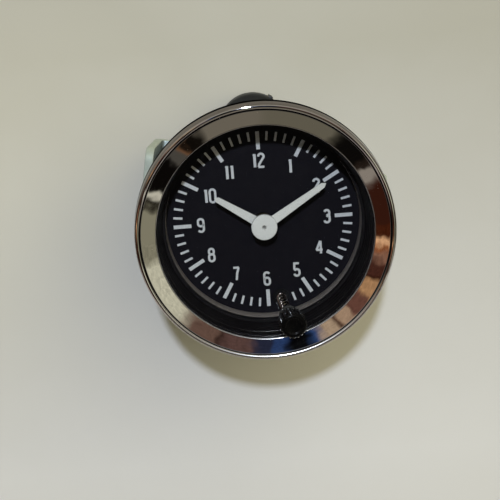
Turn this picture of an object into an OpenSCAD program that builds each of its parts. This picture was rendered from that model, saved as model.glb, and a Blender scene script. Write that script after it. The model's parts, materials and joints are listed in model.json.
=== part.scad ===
// Car clock for a 52 mm panel hole, lying on its back with the dial up.
// The origin is on the clock's axis, in the plane where the bezel meets the panel.
// +Z comes out of the dial, +Y points to 12 o'clock and +X to 3 o'clock. All sizes are in millimetres.

/* [Bezel and glass] */
// Outside diameter of the chromed bezel
bezel_d = 60; // [54:0.5:66]
// Width of the bezel from its outside to the opening's edge
rim_w = 5.2; // [5:0.1:5.4]
// Height of the opening's edge above the panel
rim_h = 5.5; // [5.2:0.1:7]
// Rise of the sloped face from the opening's edge to the foot of the outer ridge
slope_rise = 1.1; // [0.6:0.1:1.6]
// Thickness of the bezel's pressed sheet
sheet = 0.65; // [0.5:0.05:0.8]
// Thickness of the lip that is crimped behind the case's flange
crimp_t = 0.5; // [0.4:0.1:0.6]
// Thickness of the glass
glass_t = 1.7; // [1.4:0.1:1.9]
// Thickness of the rubber ring over the glass
seal_t = 0.45; // [0.3:0.05:0.6]

/* [Dial] */
// Depth of the dial's face behind the panel plane
dial_drop = 9.6; // [9:0.1:11]
// Thickness of the dial
dial_t = 0.6; // [0.4:0.1:0.8]
// Step from the bezel's opening in to the shown edge of the dial
view_step = 1.4; // [1.2:0.1:1.6]
// Height of the light ring above the dial
light_h = 4.9; // [4:0.1:5.5]
// Gap between the shown edge of the dial and the outer ends of the marks
mark_gap = 1.7; // [0.9:0.1:2.4]
// Length of a minute mark
minute_mark_len = 2.2; // [1.6:0.1:2.6]
// Length of an hour mark
hour_mark_len = 4.3; // [3.4:0.1:4.8]
// Width of a minute mark
minute_mark_w = 0.64; // [0.4:0.02:0.8]
// Width of an hour mark
hour_mark_w = 0.98; // [0.8:0.02:1.3]
// Thickness of the printed marks
print_t = 0.05; // [0.04:0.01:0.1]

/* [Hands] */
// Hour that the hands show
shown_hour = 10; // [0:1:11]
// Minute that the hands show
shown_minute = 9.6; // [0:0.1:59.9]
// Gap between the minute hand's tip and the outer ends of the marks
minute_hand_gap = 4; // [2.7:0.1:6.7]
// Length by which the hour hand is shorter than the minute hand
hour_hand_less = 4.2; // [2.7:0.1:6.7]
// Width of both hands at the hub
hand_root_w = 2.15; // [1.8:0.05:2.6]
// Width of both hands before the point
hand_tip_w = 1.3; // [1:0.05:1.6]
// Thickness of the hands
hand_t = 0.3; // [0.2:0.05:0.4]
// Depth of the hub's face behind the panel plane
hub_drop = 2.05; // [1.8:0.05:2.3]
// Diameter of the hub disc
hub_d = 6.1; // [5.4:0.1:7]
// Height of the hub disc
hub_h = 1; // [0.8:0.1:1.2]
// Gap between the two hands
hand_gap = 0.95; // [0.7:0.05:1.1]

/* [Setting knob] */
// Distance of the knob's stem at the dial from the edge of the bezel's opening
stem_inset = 5.1; // [4.9:0.1:5.4]
// Minute mark that the stem stands on at the dial
stem_minute = 28.5; // [28.2:0.1:28.8]
// Lean of the stem, in degrees from upright
stem_lean = 4.8; // [0:0.1:5]
// Direction that the stem leans to, in degrees from 3 o'clock
stem_lean_dir = -18.5; // [-40:0.5:0]
// Diameter of the knob over its ribs
knob_d = 6.2; // [5.6:0.1:6.6]
// Height of the knob
knob_h = 4.8; // [4:0.1:6]
// Number of ribs round the knob
knob_ribs = 20; // [16:1:26]
// Travel of the knob when it is pushed in
push_travel = 1.7; // [1.6:0.05:1.75]
// Diameter of the stem
stem_d = 1.2; // [1.1:0.05:1.25]
// Outside diameter of the spring round the stem
spring_od = 2.4; // [2.3:0.05:2.5]
// Wire of the spring
spring_wire = 0.35; // [0.3:0.01:0.38]
// Turns of the spring
spring_turns = 6; // [4:1:8]

/* [Case] */
// How far the bezel reaches out beyond the case, which is 51.8 across for a 52 mm hole
bezel_reach = 4.1; // [4.1:0.05:4.2]
// Wall of the case
case_wall = 0.7; // [0.6:0.05:0.8]
// Depth from the panel plane to the rear cover's outer face
case_depth = 32; // [31:0.5:38]
// Thickness of the rear cover
cover_t = 0.9; // [0.8:0.1:1]

/* [Movement] */
// Thickness of the front plate
front_plate_t = 1.5; // [1.2:0.1:1.6]
// Thickness of the rear plate
rear_plate_t = 1.2; // [1:0.1:1.4]
// Height of the space for the motion work, between the dial and the front plate
motion_h = 4.3; // [4.2:0.05:4.5]
// Thickness of every wheel
wheel_t = 0.8; // [0.7:0.05:0.85]
// Diameter of the centre arbor
arbor_d = 1.2; // [1.1:0.05:1.25]
// Radial running clearance of shafts in their holes
running = 0.06; // [0.04:0.01:0.08]
// Height of the spacers behind the rear plate
spacer_h = 2; // [1.8:0.1:2.4]
// Module of the teeth between the motor and the hands
train_module = 0.3; // [0.28:0.01:0.31]
// Radius of the motor's can
motor_r = 6; // [5:0.1:6.2]

/* [Lamp and terminals] */
// Distance of the lamp from the case's outside
lamp_inset = 7.5; // [7.3:0.1:7.8]
// Largest radius of the lamp holder's grip
lamp_grip_r = 9.4; // [8.6:0.1:9.6]
// Radius of the lamp holder's neck
lamp_neck_r = 4.8; // [4.4:0.1:5]
// Radius of the bulb's glass
bulb_r = 3; // [2.6:0.1:3.2]
// Width of a terminal blade
blade_w = 6.3; // [6:0.1:6.5]
// Thickness of a terminal blade
blade_t = 0.8; // [0.7:0.1:1]
// Length of a terminal blade behind its block
blade_len = 8; // [7:0.1:8.5]
// Distance of each terminal from the middle
terminal_at_x = 6; // [5.5:0.1:6.5]

/* [Bracket] */
// Direction of one bracket leg, in degrees from 3 o'clock
bracket_turn = 169; // [165:1:172]
// How far each leg's inner face stands in from the bezel's outside
leg_inset = 2.25; // [1.5:0.05:2.6]
// Shift of the bracket along its bar, within the play of its holes on the studs
bracket_shift = 0.3; // [0:0.05:0.35]
// Width of the bracket at its bar
bracket_w = 24; // [22:0.5:25]
// Width of each leg at its foot
foot_w = 27; // [25:0.5:30]
// Thickness of the bracket's strip
strip_t = 2; // [1.6:0.1:2.2]
// Depth of the bar's front face behind the panel plane
bar_drop = 43.6; // [43.5:0.1:46]
// Depth of the feet behind the panel plane
foot_drop = 14; // [10:0.5:20]
// Diameter of the mounting studs
stud_d = 4; // [3.8:0.1:4.2]
// Distance of the studs from the case's outside
stud_inset = 8.9; // [8.4:0.1:9.4]
// Diameter of the thumb nuts
nut_d = 12; // [11:0.1:13]
// Height of the thumb nuts
nut_h = 4.6; // [4:0.1:5]
// Thickness of the washers
washer_t = 0.6; // [0.4:0.1:0.8]

/* [Hidden] */
$fn = 96;
// Heights along the axis, from the bezel back to the thumb nuts
z_rim_under = rim_h - sheet;
z_glass_top = z_rim_under - seal_t;
z_glass = z_glass_top - glass_t;
z_flange_top = crimp_t + case_wall;
z_dial = -dial_drop;
z_dial_under = z_dial - dial_t;
z_light_top = z_dial + light_h;
lip_t = 0.4;
z_plate = z_dial_under - motion_h;
z_plate_under = z_plate - front_plate_t;
z_cover = -case_depth;
z_cover_in = z_cover + cover_t;
z_rear_plate = z_cover_in + case_wall + spacer_h + rear_plate_t;
z_rear_plate_under = z_rear_plate - rear_plate_t;
z_bar = -bar_drop;
z_washer = z_bar - strip_t;
z_nut = z_washer - washer_t;
z_rest = z_nut - nut_h;
// Radii
bezel_r = bezel_d / 2;
opening_r = bezel_r - rim_w;
case_r = bezel_r - bezel_reach;
case_in_r = case_r - case_wall;
fit_gap = 0.15;
view_r = opening_r - view_step;
mark_r = view_r - mark_gap;
stem_at_r = opening_r - stem_inset;
lamp_at_r = case_r - lamp_inset;
stud_at = case_r - stud_inset;
leg_at = bezel_r - leg_inset;
guide_r = case_in_r - fit_gap;
dial_r = view_r + 0.8;
plate_r = case_in_r - 0.4;
rear_lip_w = 4.4;
rear_lip_r = case_r - rear_lip_w;
flange_r = bezel_r - sheet - 0.5;
arbor_r = arbor_d / 2;
cannon_r = arbor_r + 0.5;
pipe_bore_r = cannon_r + running;
pipe_r = pipe_bore_r + 0.57;
stem_r = stem_d / 2;
stem_bore_r = stem_r + running;
// The hands and their hub
minute_hand_len = mark_r - minute_hand_gap;
hour_hand_len = minute_hand_len - hour_hand_less;
z_hub = -hub_drop - hub_h;
z_minute_hand = z_hub - hand_t;
z_hour_hand_top = z_minute_hand - hand_gap;
z_hour_hand = z_hour_hand_top - hand_t;
minute_angle = 90 - shown_minute * 6;
hour_angle = 90 - shown_hour * 30 - shown_minute / 2;
hub_hole_r = 0.46;
// Where the setting stem stands, and the minute wheel between it and the centre
stem_dir = 90 - stem_minute * 6;
stem_pos = [stem_at_r * cos(stem_dir), stem_at_r * sin(stem_dir)];
// Place of the leaning stem's axis at height z, and where it drives the minute wheel and passes the glass
function stem_at(z) =
    stem_pos + tan(stem_lean) * (z - z_dial) * [cos(stem_lean_dir), sin(stem_lean_dir)];
wheel_lift = 0.3;
z_minute_wheel = z_plate + wheel_lift;
stem_low = stem_at(z_minute_wheel + wheel_t / 2);
stem_low_dir = atan2(stem_low[1], stem_low[0]);
stem_glass = stem_at(z_glass + glass_t / 2);
// Two equal steps a little longer than the straight way, so that the line of wheels bends
step_share = 0.5025;
motion_cd = norm(stem_low) * step_share;
cannon_teeth = 12;
minute_wheel_teeth = 36;
minute_pinion_teeth = 12;
hour_wheel_teeth = 48;
setting_teeth = 12;
motion_module = 2 * motion_cd / (cannon_teeth + minute_wheel_teeth);
hour_module = 2 * motion_cd / (minute_pinion_teeth + hour_wheel_teeth);
minute_wheel_dir = stem_low_dir - acos(norm(stem_low) / 2 / motion_cd);
minute_wheel_pos = [motion_cd * cos(minute_wheel_dir), motion_cd * sin(minute_wheel_dir)];
to_stem = stem_low - minute_wheel_pos;
to_stem_dir = atan2(to_stem[1], to_stem[0]);
// Heights of the motion work over the front plate
washer_lift = 0.2;
pinion_drop = 1.2;
z_minute_pinion_top = z_dial_under - pinion_drop;
z_cannon = z_plate + washer_lift;
cannon_t = wheel_t + 0.4;
z_hour_wheel = z_cannon + cannon_t + 0.4;
z_setting = z_minute_wheel - 0.1 + push_travel;
// The bush through the dial, the collar and the knob on the setting stem
bush_flange_r = 2;
bush_flange_t = 0.5;
bush_body_r = bush_flange_r - 0.4;
bush_drop = 0.9;
z_bush_under = z_dial_under - bush_drop;
collar_t = 0.6;
collar_gap = 0.4;
z_collar = z_glass - collar_gap - collar_t;
grommet_lip = 0.4;
grommet_r = 1.9;
z_knob = z_glass_top + grommet_lip + push_travel + 0.4;
knob_r = knob_d / 2;
knob_roof = 1.5;
// The motor's train behind the front plate
centre_wheel_teeth = 60;
reduction_pinion_teeth = 10;
reduction_wheel_teeth = 45;
motor_pinion_teeth = 9;
centre_to_reduction = (centre_wheel_teeth + reduction_pinion_teeth) * train_module / 2;
reduction_to_motor = (reduction_wheel_teeth + motor_pinion_teeth) * train_module / 2;
reduction_dir = 200;
motor_dir = 270;
reduction_pos = centre_to_reduction * [cos(reduction_dir), sin(reduction_dir)];
motor_pos = reduction_pos + reduction_to_motor * [cos(motor_dir), sin(motor_dir)];
z_centre_wheel = z_plate_under - 0.8 - wheel_t;
z_reduction_wheel = z_centre_wheel - 1.2 - wheel_t;
z_motor_pinion = z_reduction_wheel - 0.4;
z_motor_top = z_motor_pinion - 0.6;
train_arbor_r = 0.5;
// Pillars, screws, lamp and terminals
pillar_r = 1.6;
pillar_at = plate_r - 3.6;
pillar_dirs = [30, 160, 262];
screw_at = (rear_lip_r + case_in_r) / 2 - 0.3;
screw_dirs = [40, 160, 285];
screw_r = 0.8;
screw_hole_r = screw_r + 0.1;
screw_head_r = 1.7;
screw_head_h = 1;
screw_slot_w = 0.5;
lamp_dir = 90;
lamp_pos = lamp_at_r * [cos(lamp_dir), sin(lamp_dir)];
lamp_hole_r = lamp_neck_r + 0.1;
sleeve_h = 1.2;
sleeve_t = 0.8;
lamp_window_r = lamp_neck_r + 1.1;
lug_dir = 57;
board_t = 1;
board_r = pillar_at - pillar_r - 0.5;
terminal_inset = 10.9;
terminal_y = terminal_inset - case_r;
block_size = [2 * terminal_at_x + blade_w + 2.7, 8, 2.5];
stud_r = stud_d / 2;
bend_r = 3;
corner_r = 3;
knurl_depth = 0.35;

// Points on an arc from angle a0 to a1 round [cx, cy]
function arc(cx, cy, r, a0, a1, steps = 8) =
    [for (i = [0:steps]) let (a = a0 + (a1 - a0) * i / steps) [cx + r * cos(a), cy + r * sin(a)]];
function at(r, a) = [r * cos(a), r * sin(a)];
function reversed(list) = [for (i = [len(list) - 1:-1:0]) list[i]];
// Outline of a toothed wheel: each flank runs from the root past the pitch circle to a narrowed tip.
// The form holds half the tooth's thickness at root, pitch circle and tip, then addendum and dedendum,
// all in modules.
wheel_form = [0.86, 0.72, 0.28, 0.9, 1.2];
pinion_form = [0.46, 0.68, 0.28, 0.75, 1.2];
setting_pinion_r = motion_module * (setting_teeth / 2 + pinion_form[3]);
function flank(r, m, f) = [
    [r - f[4] * m, f[0] * m], [r - 0.1 * m, f[1] * m],
    [r + 0.45 * f[3] * m, 0.82 * f[1] * m], [r + f[3] * m, f[2] * m]];
function tooth_angles(r, m, f) = [for (p = flank(r, m, f)) [p[0], p[1] / p[0] * 180 / PI]];
function tooth(c, side) = concat(
    [for (p = side) at(p[0], c - p[1])], [for (p = reversed(side)) at(p[0], c + p[1])]);
function gear_points(teeth, m, f) = let (side = tooth_angles(teeth * m / 2, m, f))
    [for (k = [0:teeth - 1]) each tooth(360 / teeth * k, side)];
// Turn of wheel B so that its gap faces the tooth of wheel A, which stands at turn_a; dir points from A to B
function mesh_turn(teeth_a, teeth_b, dir, turn_a) =
    dir + 180 + 180 / teeth_b + (dir - turn_a) * teeth_a / teeth_b;
cannon_turn = 0;
minute_wheel_turn = mesh_turn(cannon_teeth, minute_wheel_teeth, minute_wheel_dir, cannon_turn);
hour_wheel_turn = mesh_turn(minute_pinion_teeth, hour_wheel_teeth, minute_wheel_dir + 180, minute_wheel_turn);
setting_turn = mesh_turn(minute_wheel_teeth, setting_teeth, to_stem_dir, minute_wheel_turn);
reduction_turn = mesh_turn(centre_wheel_teeth, reduction_pinion_teeth, reduction_dir, 0);
motor_turn = mesh_turn(reduction_wheel_teeth, motor_pinion_teeth, motor_dir, reduction_turn);

module gear(teeth, m, form, h, bore_r) {
    linear_extrude(h) difference() {
        polygon(gear_points(teeth, m, form));
        if (bore_r > 0) circle(bore_r);
    }
}
module tube(r_out, r_in, h) {
    difference() {
        cylinder(r = r_out, h = h);
        translate([0, 0, -1]) cylinder(r = r_in, h = h + 2);
    }
}
// A disc with straight ribs round it and both rims bevelled
module ribbed_disc(r, h, ribs, depth, bevel) {
    step = 360 / ribs;
    intersection() {
        linear_extrude(h) polygon([for (k = [0:ribs - 1]) each [
            at(r - depth, step * (k - 0.34)), at(r, step * (k - 0.2)),
            at(r, step * (k + 0.2)), at(r - depth, step * (k + 0.34))]]);
        rotate_extrude() polygon([[0, 0], [r - bevel, 0], [r + 0.1, bevel + 0.1],
            [r + 0.1, h - bevel - 0.1], [r - bevel, h], [0, h]]);
    }
}
module at_dirs(r, dirs) {
    for (a = dirs) rotate(a) translate([r, 0, 0]) children();
}
module at_studs() {
    at_dirs(stud_at, [bracket_turn, bracket_turn + 180]) children();
}
module at_xy(p, z = 0) {
    translate([p[0], p[1], z]) children();
}
// Sets what is drawn upright at height z along the leaning stem
module on_stem(z) {
    at_xy(stem_pos, z_dial) rotate(stem_lean_dir) rotate([0, stem_lean, 0]) rotate(-stem_lean_dir)
        translate([0, 0, z - z_dial]) children();
}

// Pressed bezel: beaded edge, sloped face, groove, rolled rim, a side that leans in towards the rim, and the
// lip crimped behind the flange
roll_r = 0.6;
wall_lean = 0.45;
groove_w = 0.15;
groove_depth = 0.25;
bead_r = 0.15;
seat_in = 2.6;
rim_top_r = bezel_r - wall_lean;
roll_at_r = rim_top_r - roll_r;
slope_end_r = roll_at_r - roll_r - groove_w;
seat_r = bezel_r - seat_in;
z_slope_end = rim_h + slope_rise;
z_roll = z_slope_end - 0.45;
module bezel() {
    inner_wall_r = bezel_r - sheet;
    inner_top_r = rim_top_r - sheet;
    crimp_r = case_r + crimp_t + 0.4;
    foot_r = 0.9;
    color("gainsboro") rotate_extrude() polygon(concat(
        [[opening_r, z_rim_under]],
        arc(opening_r + bead_r, rim_h - bead_r, bead_r, 180, 70, 6),
        [[slope_end_r, z_slope_end], [slope_end_r + groove_w, z_slope_end - groove_depth]],
        arc(roll_at_r, z_roll, roll_r, 165, 5, 12),
        [[bezel_r, foot_r + 0.3]],
        arc(bezel_r - foot_r, foot_r, foot_r, 0, -90, 6),
        [[crimp_r, 0], [crimp_r, crimp_t], [inner_wall_r - 0.4, crimp_t]],
        [[inner_wall_r, crimp_t + 0.4], [inner_top_r, z_roll - 0.6], [inner_top_r - 0.5, z_roll - 0.2]],
        [[seat_r, z_rim_under]]));
}
module lens() {
    color("lightcyan", 0.35) difference() {
        translate([0, 0, z_glass]) cylinder(r = seat_r - fit_gap, h = glass_t);
        at_xy(stem_glass, z_glass - 1) cylinder(r = grommet_r, h = glass_t + 2);
    }
}
module lens_seal() {
    color("black") translate([0, 0, z_glass_top]) tube(seat_r - fit_gap, opening_r + 0.35, seal_t);
}
module lens_grommet() {
    color("dimgray") difference() {
        at_xy(stem_glass) rotate_extrude() polygon([
            [0, z_glass], [grommet_r, z_glass], [grommet_r, z_glass_top],
            [grommet_r + 0.45, z_glass_top], [grommet_r + 0.3, z_glass_top + grommet_lip],
            [0, z_glass_top + grommet_lip]]);
        on_stem(z_glass - 1) cylinder(r = stem_bore_r, h = glass_t + 3);
    }
}
// Black ring between the glass and the light ring: flange, tapered bore and a thin lip over the light ring
module shroud_ring() {
    color([0.06, 0.06, 0.07]) rotate_extrude() polygon([
        [view_r, z_light_top], [guide_r, z_light_top], [guide_r, z_flange_top],
        [flange_r, z_flange_top], [flange_r, z_glass], [opening_r, z_glass],
        [view_r + 0.55, z_light_top + lip_t],
        [view_r, z_light_top + lip_t]]);
}
// Translucent ring that lights the dial's edge, with a skirt down beside the dial
module light_ring() {
    color("lightgray") rotate_extrude() polygon([
        [view_r, z_dial], [dial_r + 0.05, z_dial], [dial_r + 0.05, z_dial_under], [guide_r, z_dial_under],
        [guide_r, z_light_top], [view_r, z_light_top]]);
}
module dial() {
    color([0.08, 0.08, 0.09]) difference() {
        translate([0, 0, z_dial_under]) cylinder(r = dial_r, h = dial_t);
        translate([0, 0, z_dial_under - 1]) cylinder(r = pipe_r + 0.35, h = dial_t + 2);
        at_xy(stem_pos, z_dial_under - 1) cylinder(r = bush_body_r, h = dial_t + 2);
    }
}
// Minute and hour marks, but none where the setting stem's bush stands
module minute_track() {
    color("white") for (m = [0:59]) {
        hour = m % 5 == 0;
        len = hour ? hour_mark_len : minute_mark_len;
        w = hour ? hour_mark_w : minute_mark_w;
        middle = at(mark_r - minute_mark_len / 2, 90 - 6 * m);
        if (norm(middle - stem_pos) > bush_flange_r + 0.2)
            rotate(90 - 6 * m) translate([mark_r - len, -w / 2, z_dial]) cube([len, w, print_t]);
    }
}
// Ring that carries the dial; where the stem stands far out, it is cut away for the setting pinion
module dial_support() {
    color("whitesmoke") translate([0, 0, z_plate]) difference() {
        tube(guide_r, view_r + 0.2, motion_h);
        at_xy(stem_low, -1) cylinder(r = setting_pinion_r + 0.25, h = motion_h + 2);
    }
}
// A flat hand: widest at the hub, tapering to a short point
module hand(len, bore_r, turn, z) {
    tip_len = 0.9;
    translate([0, 0, z]) rotate(turn) linear_extrude(hand_t) difference() {
        union() {
            circle(hub_d / 2 - 0.35);
            polygon([[0, -hand_root_w / 2], [hub_d / 2, -hand_root_w / 2],
                [len - tip_len, -hand_tip_w / 2], [len, 0], [len - tip_len, hand_tip_w / 2],
                [hub_d / 2, hand_root_w / 2], [0, hand_root_w / 2]]);
        }
        circle(bore_r);
    }
}
module hour_hand() {
    color("whitesmoke") hand(hour_hand_len, pipe_r, hour_angle, z_hour_hand);
}
module minute_hand() {
    color("whitesmoke") hand(minute_hand_len, cannon_r, minute_angle, z_minute_hand);
}
module hub_disc() {
    soft = 0.15;
    z_top = z_hub + hub_h;
    color("white") rotate_extrude() polygon([[hub_hole_r, z_hub], [hub_d / 2, z_hub],
        [hub_d / 2, z_top - soft], [hub_d / 2 - soft, z_top],
        [hub_hole_r + soft, z_top], [hub_hole_r, z_top - soft]]);
}
module centre_arbor() {
    z_end = z_rear_plate_under + 0.2;
    color("silver") translate([0, 0, z_end]) cylinder(r = arbor_r, h = z_hub - z_end);
}
module centre_wheel() {
    color("goldenrod") translate([0, 0, z_centre_wheel]) {
        gear(centre_wheel_teeth, train_module, wheel_form, wheel_t, arbor_r);
        translate([0, 0, -0.8]) tube(arbor_r + 0.9, arbor_r, 0.8);
    }
}
module cannon_pinion() {
    color("silver") translate([0, 0, z_cannon]) {
        rotate(cannon_turn) gear(cannon_teeth, motion_module, pinion_form, cannon_t, arbor_r);
        translate([0, 0, cannon_t]) tube(cannon_r, arbor_r, z_hub - z_cannon - cannon_t);
    }
}
module hour_wheel() {
    color("goldenrod") {
        translate([0, 0, z_hour_wheel]) {
            rotate(hour_wheel_turn) gear(hour_wheel_teeth, hour_module, wheel_form, wheel_t, pipe_bore_r);
            translate([0, 0, wheel_t]) tube(pipe_r, pipe_bore_r, z_hour_hand_top - z_hour_wheel - wheel_t);
        }
    }
}
module minute_wheel() {
    color("goldenrod") at_xy(minute_wheel_pos, z_minute_wheel) rotate(minute_wheel_turn) {
        gear(minute_wheel_teeth, motion_module, wheel_form, wheel_t, train_arbor_r + running);
        translate([0, 0, wheel_t]) gear(minute_pinion_teeth, hour_module, pinion_form,
            z_minute_pinion_top - z_minute_wheel - wheel_t, train_arbor_r + running);
    }
}
module minute_wheel_stud() {
    color("silver") at_xy(minute_wheel_pos, z_plate) {
        cylinder(r = train_arbor_r + 0.4, h = washer_lift);
        cylinder(r = train_arbor_r, h = z_minute_pinion_top - z_plate + 0.3);
    }
}
// Reduction wheel: pinion in mesh with the centre wheel, and the wheel that the motor drives
module reduction_wheel() {
    at_xy(reduction_pos) {
        color("whitesmoke") {
            translate([0, 0, z_centre_wheel - 1.2]) rotate(reduction_turn)
                gear(reduction_pinion_teeth, train_module, pinion_form, wheel_t + 1.5, train_arbor_r);
            translate([0, 0, z_reduction_wheel]) rotate(reduction_turn)
                gear(reduction_wheel_teeth, train_module, wheel_form, wheel_t, train_arbor_r);
        }
        color("silver") translate([0, 0, z_rear_plate_under + 0.3])
            cylinder(r = train_arbor_r, h = z_plate - z_rear_plate_under - 0.7);
    }
}
module motor_pinion() {
    color("silver") at_xy(motor_pos, z_motor_pinion) {
        rotate(motor_turn) gear(motor_pinion_teeth, train_module, pinion_form, wheel_t + 0.8, 0.3);
        translate([0, 0, -1]) cylinder(r = 0.3, h = wheel_t + 1.8);
    }
}
// Sealed stepping motor: can, front boss with the shaft's bore, and two solder tags on the board
module stepper_motor() {
    boss_h = 0.4;
    color("silver") at_xy(motor_pos) difference() {
        union() {
            translate([0, 0, z_rear_plate]) cylinder(r = motor_r, h = z_motor_top - z_rear_plate);
            translate([0, 0, z_motor_top]) cylinder(r = 1.6, h = boss_h);
        }
        translate([0, 0, z_motor_pinion - 1.2]) cylinder(r = 0.3 + running, h = 3);
    }
}
module plate_holes(h) {
    translate([0, 0, -1]) cylinder(r = arbor_r + running, h = h + 2);
    at_xy(reduction_pos, -1) cylinder(r = train_arbor_r + running, h = h + 2);
}
module front_plate() {
    color("gold") translate([0, 0, z_plate_under]) difference() {
        cylinder(r = plate_r, h = front_plate_t);
        plate_holes(front_plate_t);
        at_xy(lamp_pos, -1) cylinder(r = lamp_window_r - 1, h = front_plate_t + 2);
        translate([0, 0, -z_plate_under]) on_stem(z_plate_under - 1)
            cylinder(r = stem_bore_r, h = front_plate_t + 2);
    }
}
module rear_plate() {
    color("gold") translate([0, 0, z_rear_plate_under]) difference() {
        cylinder(r = plate_r, h = rear_plate_t);
        plate_holes(rear_plate_t);
        at_xy(lamp_pos, -1) cylinder(r = lamp_window_r, h = rear_plate_t + 2);
        translate([-lamp_window_r, lamp_pos[1], -1]) cube([2 * lamp_window_r, plate_r, rear_plate_t + 2]);
        at_dirs(screw_at, screw_dirs) translate([0, 0, -1]) cylinder(r = screw_r, h = rear_plate_t + 2);
    }
}
module plate_pillars() {
    color("gold") at_dirs(pillar_at, pillar_dirs) translate([0, 0, z_rear_plate])
        cylinder(r = pillar_r, h = z_plate_under - z_rear_plate);
}
module circuit_board() {
    color("darkgreen") translate([0, 0, z_rear_plate]) difference() {
        cylinder(r = board_r, h = board_t);
        translate([0, 0, -1]) cylinder(r = arbor_r + 1, h = board_t + 2);
        at_xy(reduction_pos, -1) cylinder(r = train_arbor_r + 1, h = board_t + 2);
        at_xy(motor_pos, -1) cylinder(r = motor_r + 0.3, h = board_t + 2);
        at_xy(lamp_pos, -1) cylinder(r = lamp_window_r + 0.4, h = board_t + 2);
    }
}
module on_board(x, y) {
    translate([x, y, z_rear_plate + board_t]) children();
}
module quartz_can() {
    can_r = 1.5;
    can_len = 6;
    color("silver") on_board(10, -9) rotate(70) translate([-can_len / 2, 0, can_r])
        rotate([0, 90, 0]) cylinder(r = can_r, h = can_len);
}
module driver_chip() {
    color([0.1, 0.1, 0.1]) on_board(5.5, 3) cube([5, 4, 1.6]);
}
module capacitor() {
    color("midnightblue") on_board(-9, 7.5) cylinder(r = 2.5, h = 5);
}
// Drawn case: front flange under the bezel, bent round into the tube, and a lip turned in at the rear
module case() {
    color([0.62, 0.64, 0.6]) difference() {
        rotate_extrude() polygon([
            [case_in_r, z_flange_top], [flange_r, z_flange_top], [flange_r, crimp_t],
            each arc(case_r + crimp_t, 0, crimp_t, 90, 180, 5),
            [case_r, z_cover_in], [rear_lip_r, z_cover_in], [rear_lip_r, z_cover_in + case_wall],
            [case_in_r, z_cover_in + case_wall]]);
        at_dirs(screw_at, screw_dirs) translate([0, 0, z_cover_in - 1])
            cylinder(r = screw_hole_r, h = case_wall + 2);
        at_xy(lamp_pos, z_cover_in - 1) cylinder(r = lamp_hole_r, h = case_wall + 2);
    }
}
module rear_cover() {
    color([0.62, 0.64, 0.6]) difference() {
        union() {
            translate([0, 0, z_cover]) cylinder(r = case_r - 0.4, h = cover_t);
            at_xy(lamp_pos, z_cover - sleeve_h) cylinder(r = lamp_hole_r + sleeve_t, h = sleeve_h);
        }
        at_xy(lamp_pos, z_cover - sleeve_h - 1) cylinder(r = lamp_hole_r, h = sleeve_h + cover_t + 2);
        at_dirs(screw_at, screw_dirs) translate([0, 0, z_cover - 1])
            cylinder(r = screw_hole_r, h = cover_t + 2);
        at_studs() translate([0, 0, z_cover - 1]) cylinder(r = stud_r, h = cover_t + 2);
        for (s = [-1, 1]) translate([s * terminal_at_x, terminal_y, z_cover + cover_t / 2])
            cube([blade_w + 1, blade_t + 1.6, cover_t + 2], center = true);
    }
}
// Three long screws that hold the cover, the case and the movement together
module case_screws() {
    color("silver") at_dirs(screw_at, screw_dirs) difference() {
        union() {
            translate([0, 0, z_cover]) cylinder(r = screw_r, h = z_rear_plate - z_cover - 0.2);
            translate([0, 0, z_cover - screw_head_h]) cylinder(r = screw_head_r, h = screw_head_h);
        }
        translate([0, 0, z_cover - screw_head_h])
            cube([2 * screw_head_r + 2, screw_slot_w, screw_head_h], center = true);
    }
}
module movement_spacers() {
    color("gold") at_dirs(screw_at, screw_dirs) translate([0, 0, z_cover_in + case_wall])
        tube(screw_hole_r + 0.6, screw_hole_r, spacer_h);
}
// Push-in lamp holder: neck in the cover's sleeve, shoulder, flared grip with a rounded end, and one lug
module lamp_holder() {
    z_shoulder = z_cover - sleeve_h;
    shoulder_r = lamp_hole_r + sleeve_t + 0.9;
    z_neck_top = z_cover + 4.5;
    end_r = 2;
    color([0.07, 0.07, 0.08]) at_xy(lamp_pos) {
        difference() {
            rotate_extrude() polygon(concat(
                [[0, z_rest], [lamp_grip_r - end_r, z_rest]],
                arc(lamp_grip_r - end_r, z_rest + end_r, end_r, -80, 0, 7),
                [[lamp_grip_r, z_shoulder - 8.2], [lamp_grip_r - 0.5, z_shoulder - 7.6]],
                [[shoulder_r, z_shoulder - 4.6], [shoulder_r, z_shoulder - 0.5]],
                [[shoulder_r - 0.5, z_shoulder]],
                [[lamp_neck_r, z_shoulder], [lamp_neck_r, z_neck_top], [0, z_neck_top]]));
            translate([0, 0, z_neck_top - 5]) cylinder(r = bulb_r - 0.3, h = 6);
        }
        rotate(lug_dir) translate([lamp_grip_r - 0.5, -0.6, z_rest + end_r + 0.5]) cube([1, 1.2, 6]);
    }
}
module lamp_bulb() {
    z_seat = z_cover - 0.5;
    z_glass_end = z_plate_under - 1.2;
    base_r = bulb_r - 0.4;
    color("lightyellow", 0.5) at_xy(lamp_pos) rotate_extrude() polygon(concat(
        [[0, z_seat], [base_r, z_seat], [base_r, z_cover + 5], [bulb_r, z_cover + 6]],
        arc(0, z_glass_end - bulb_r, bulb_r, 0, 90, 10)));
}
module terminal_block() {
    color([0.08, 0.08, 0.08]) difference() {
        union() {
            translate([-block_size[0] / 2, terminal_y - block_size[1] / 2, z_cover - block_size[2]])
                cube(block_size);
            for (s = [-1, 1]) translate([s * terminal_at_x, terminal_y, z_cover + (cover_t + 0.6) / 2])
                cube([blade_w + 0.8, blade_t + 1.4, cover_t + 0.6], center = true);
        }
        for (s = [-1, 1]) translate([s * terminal_at_x, terminal_y, z_cover])
            cube([blade_w, blade_t, 10], center = true);
    }
}
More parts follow.
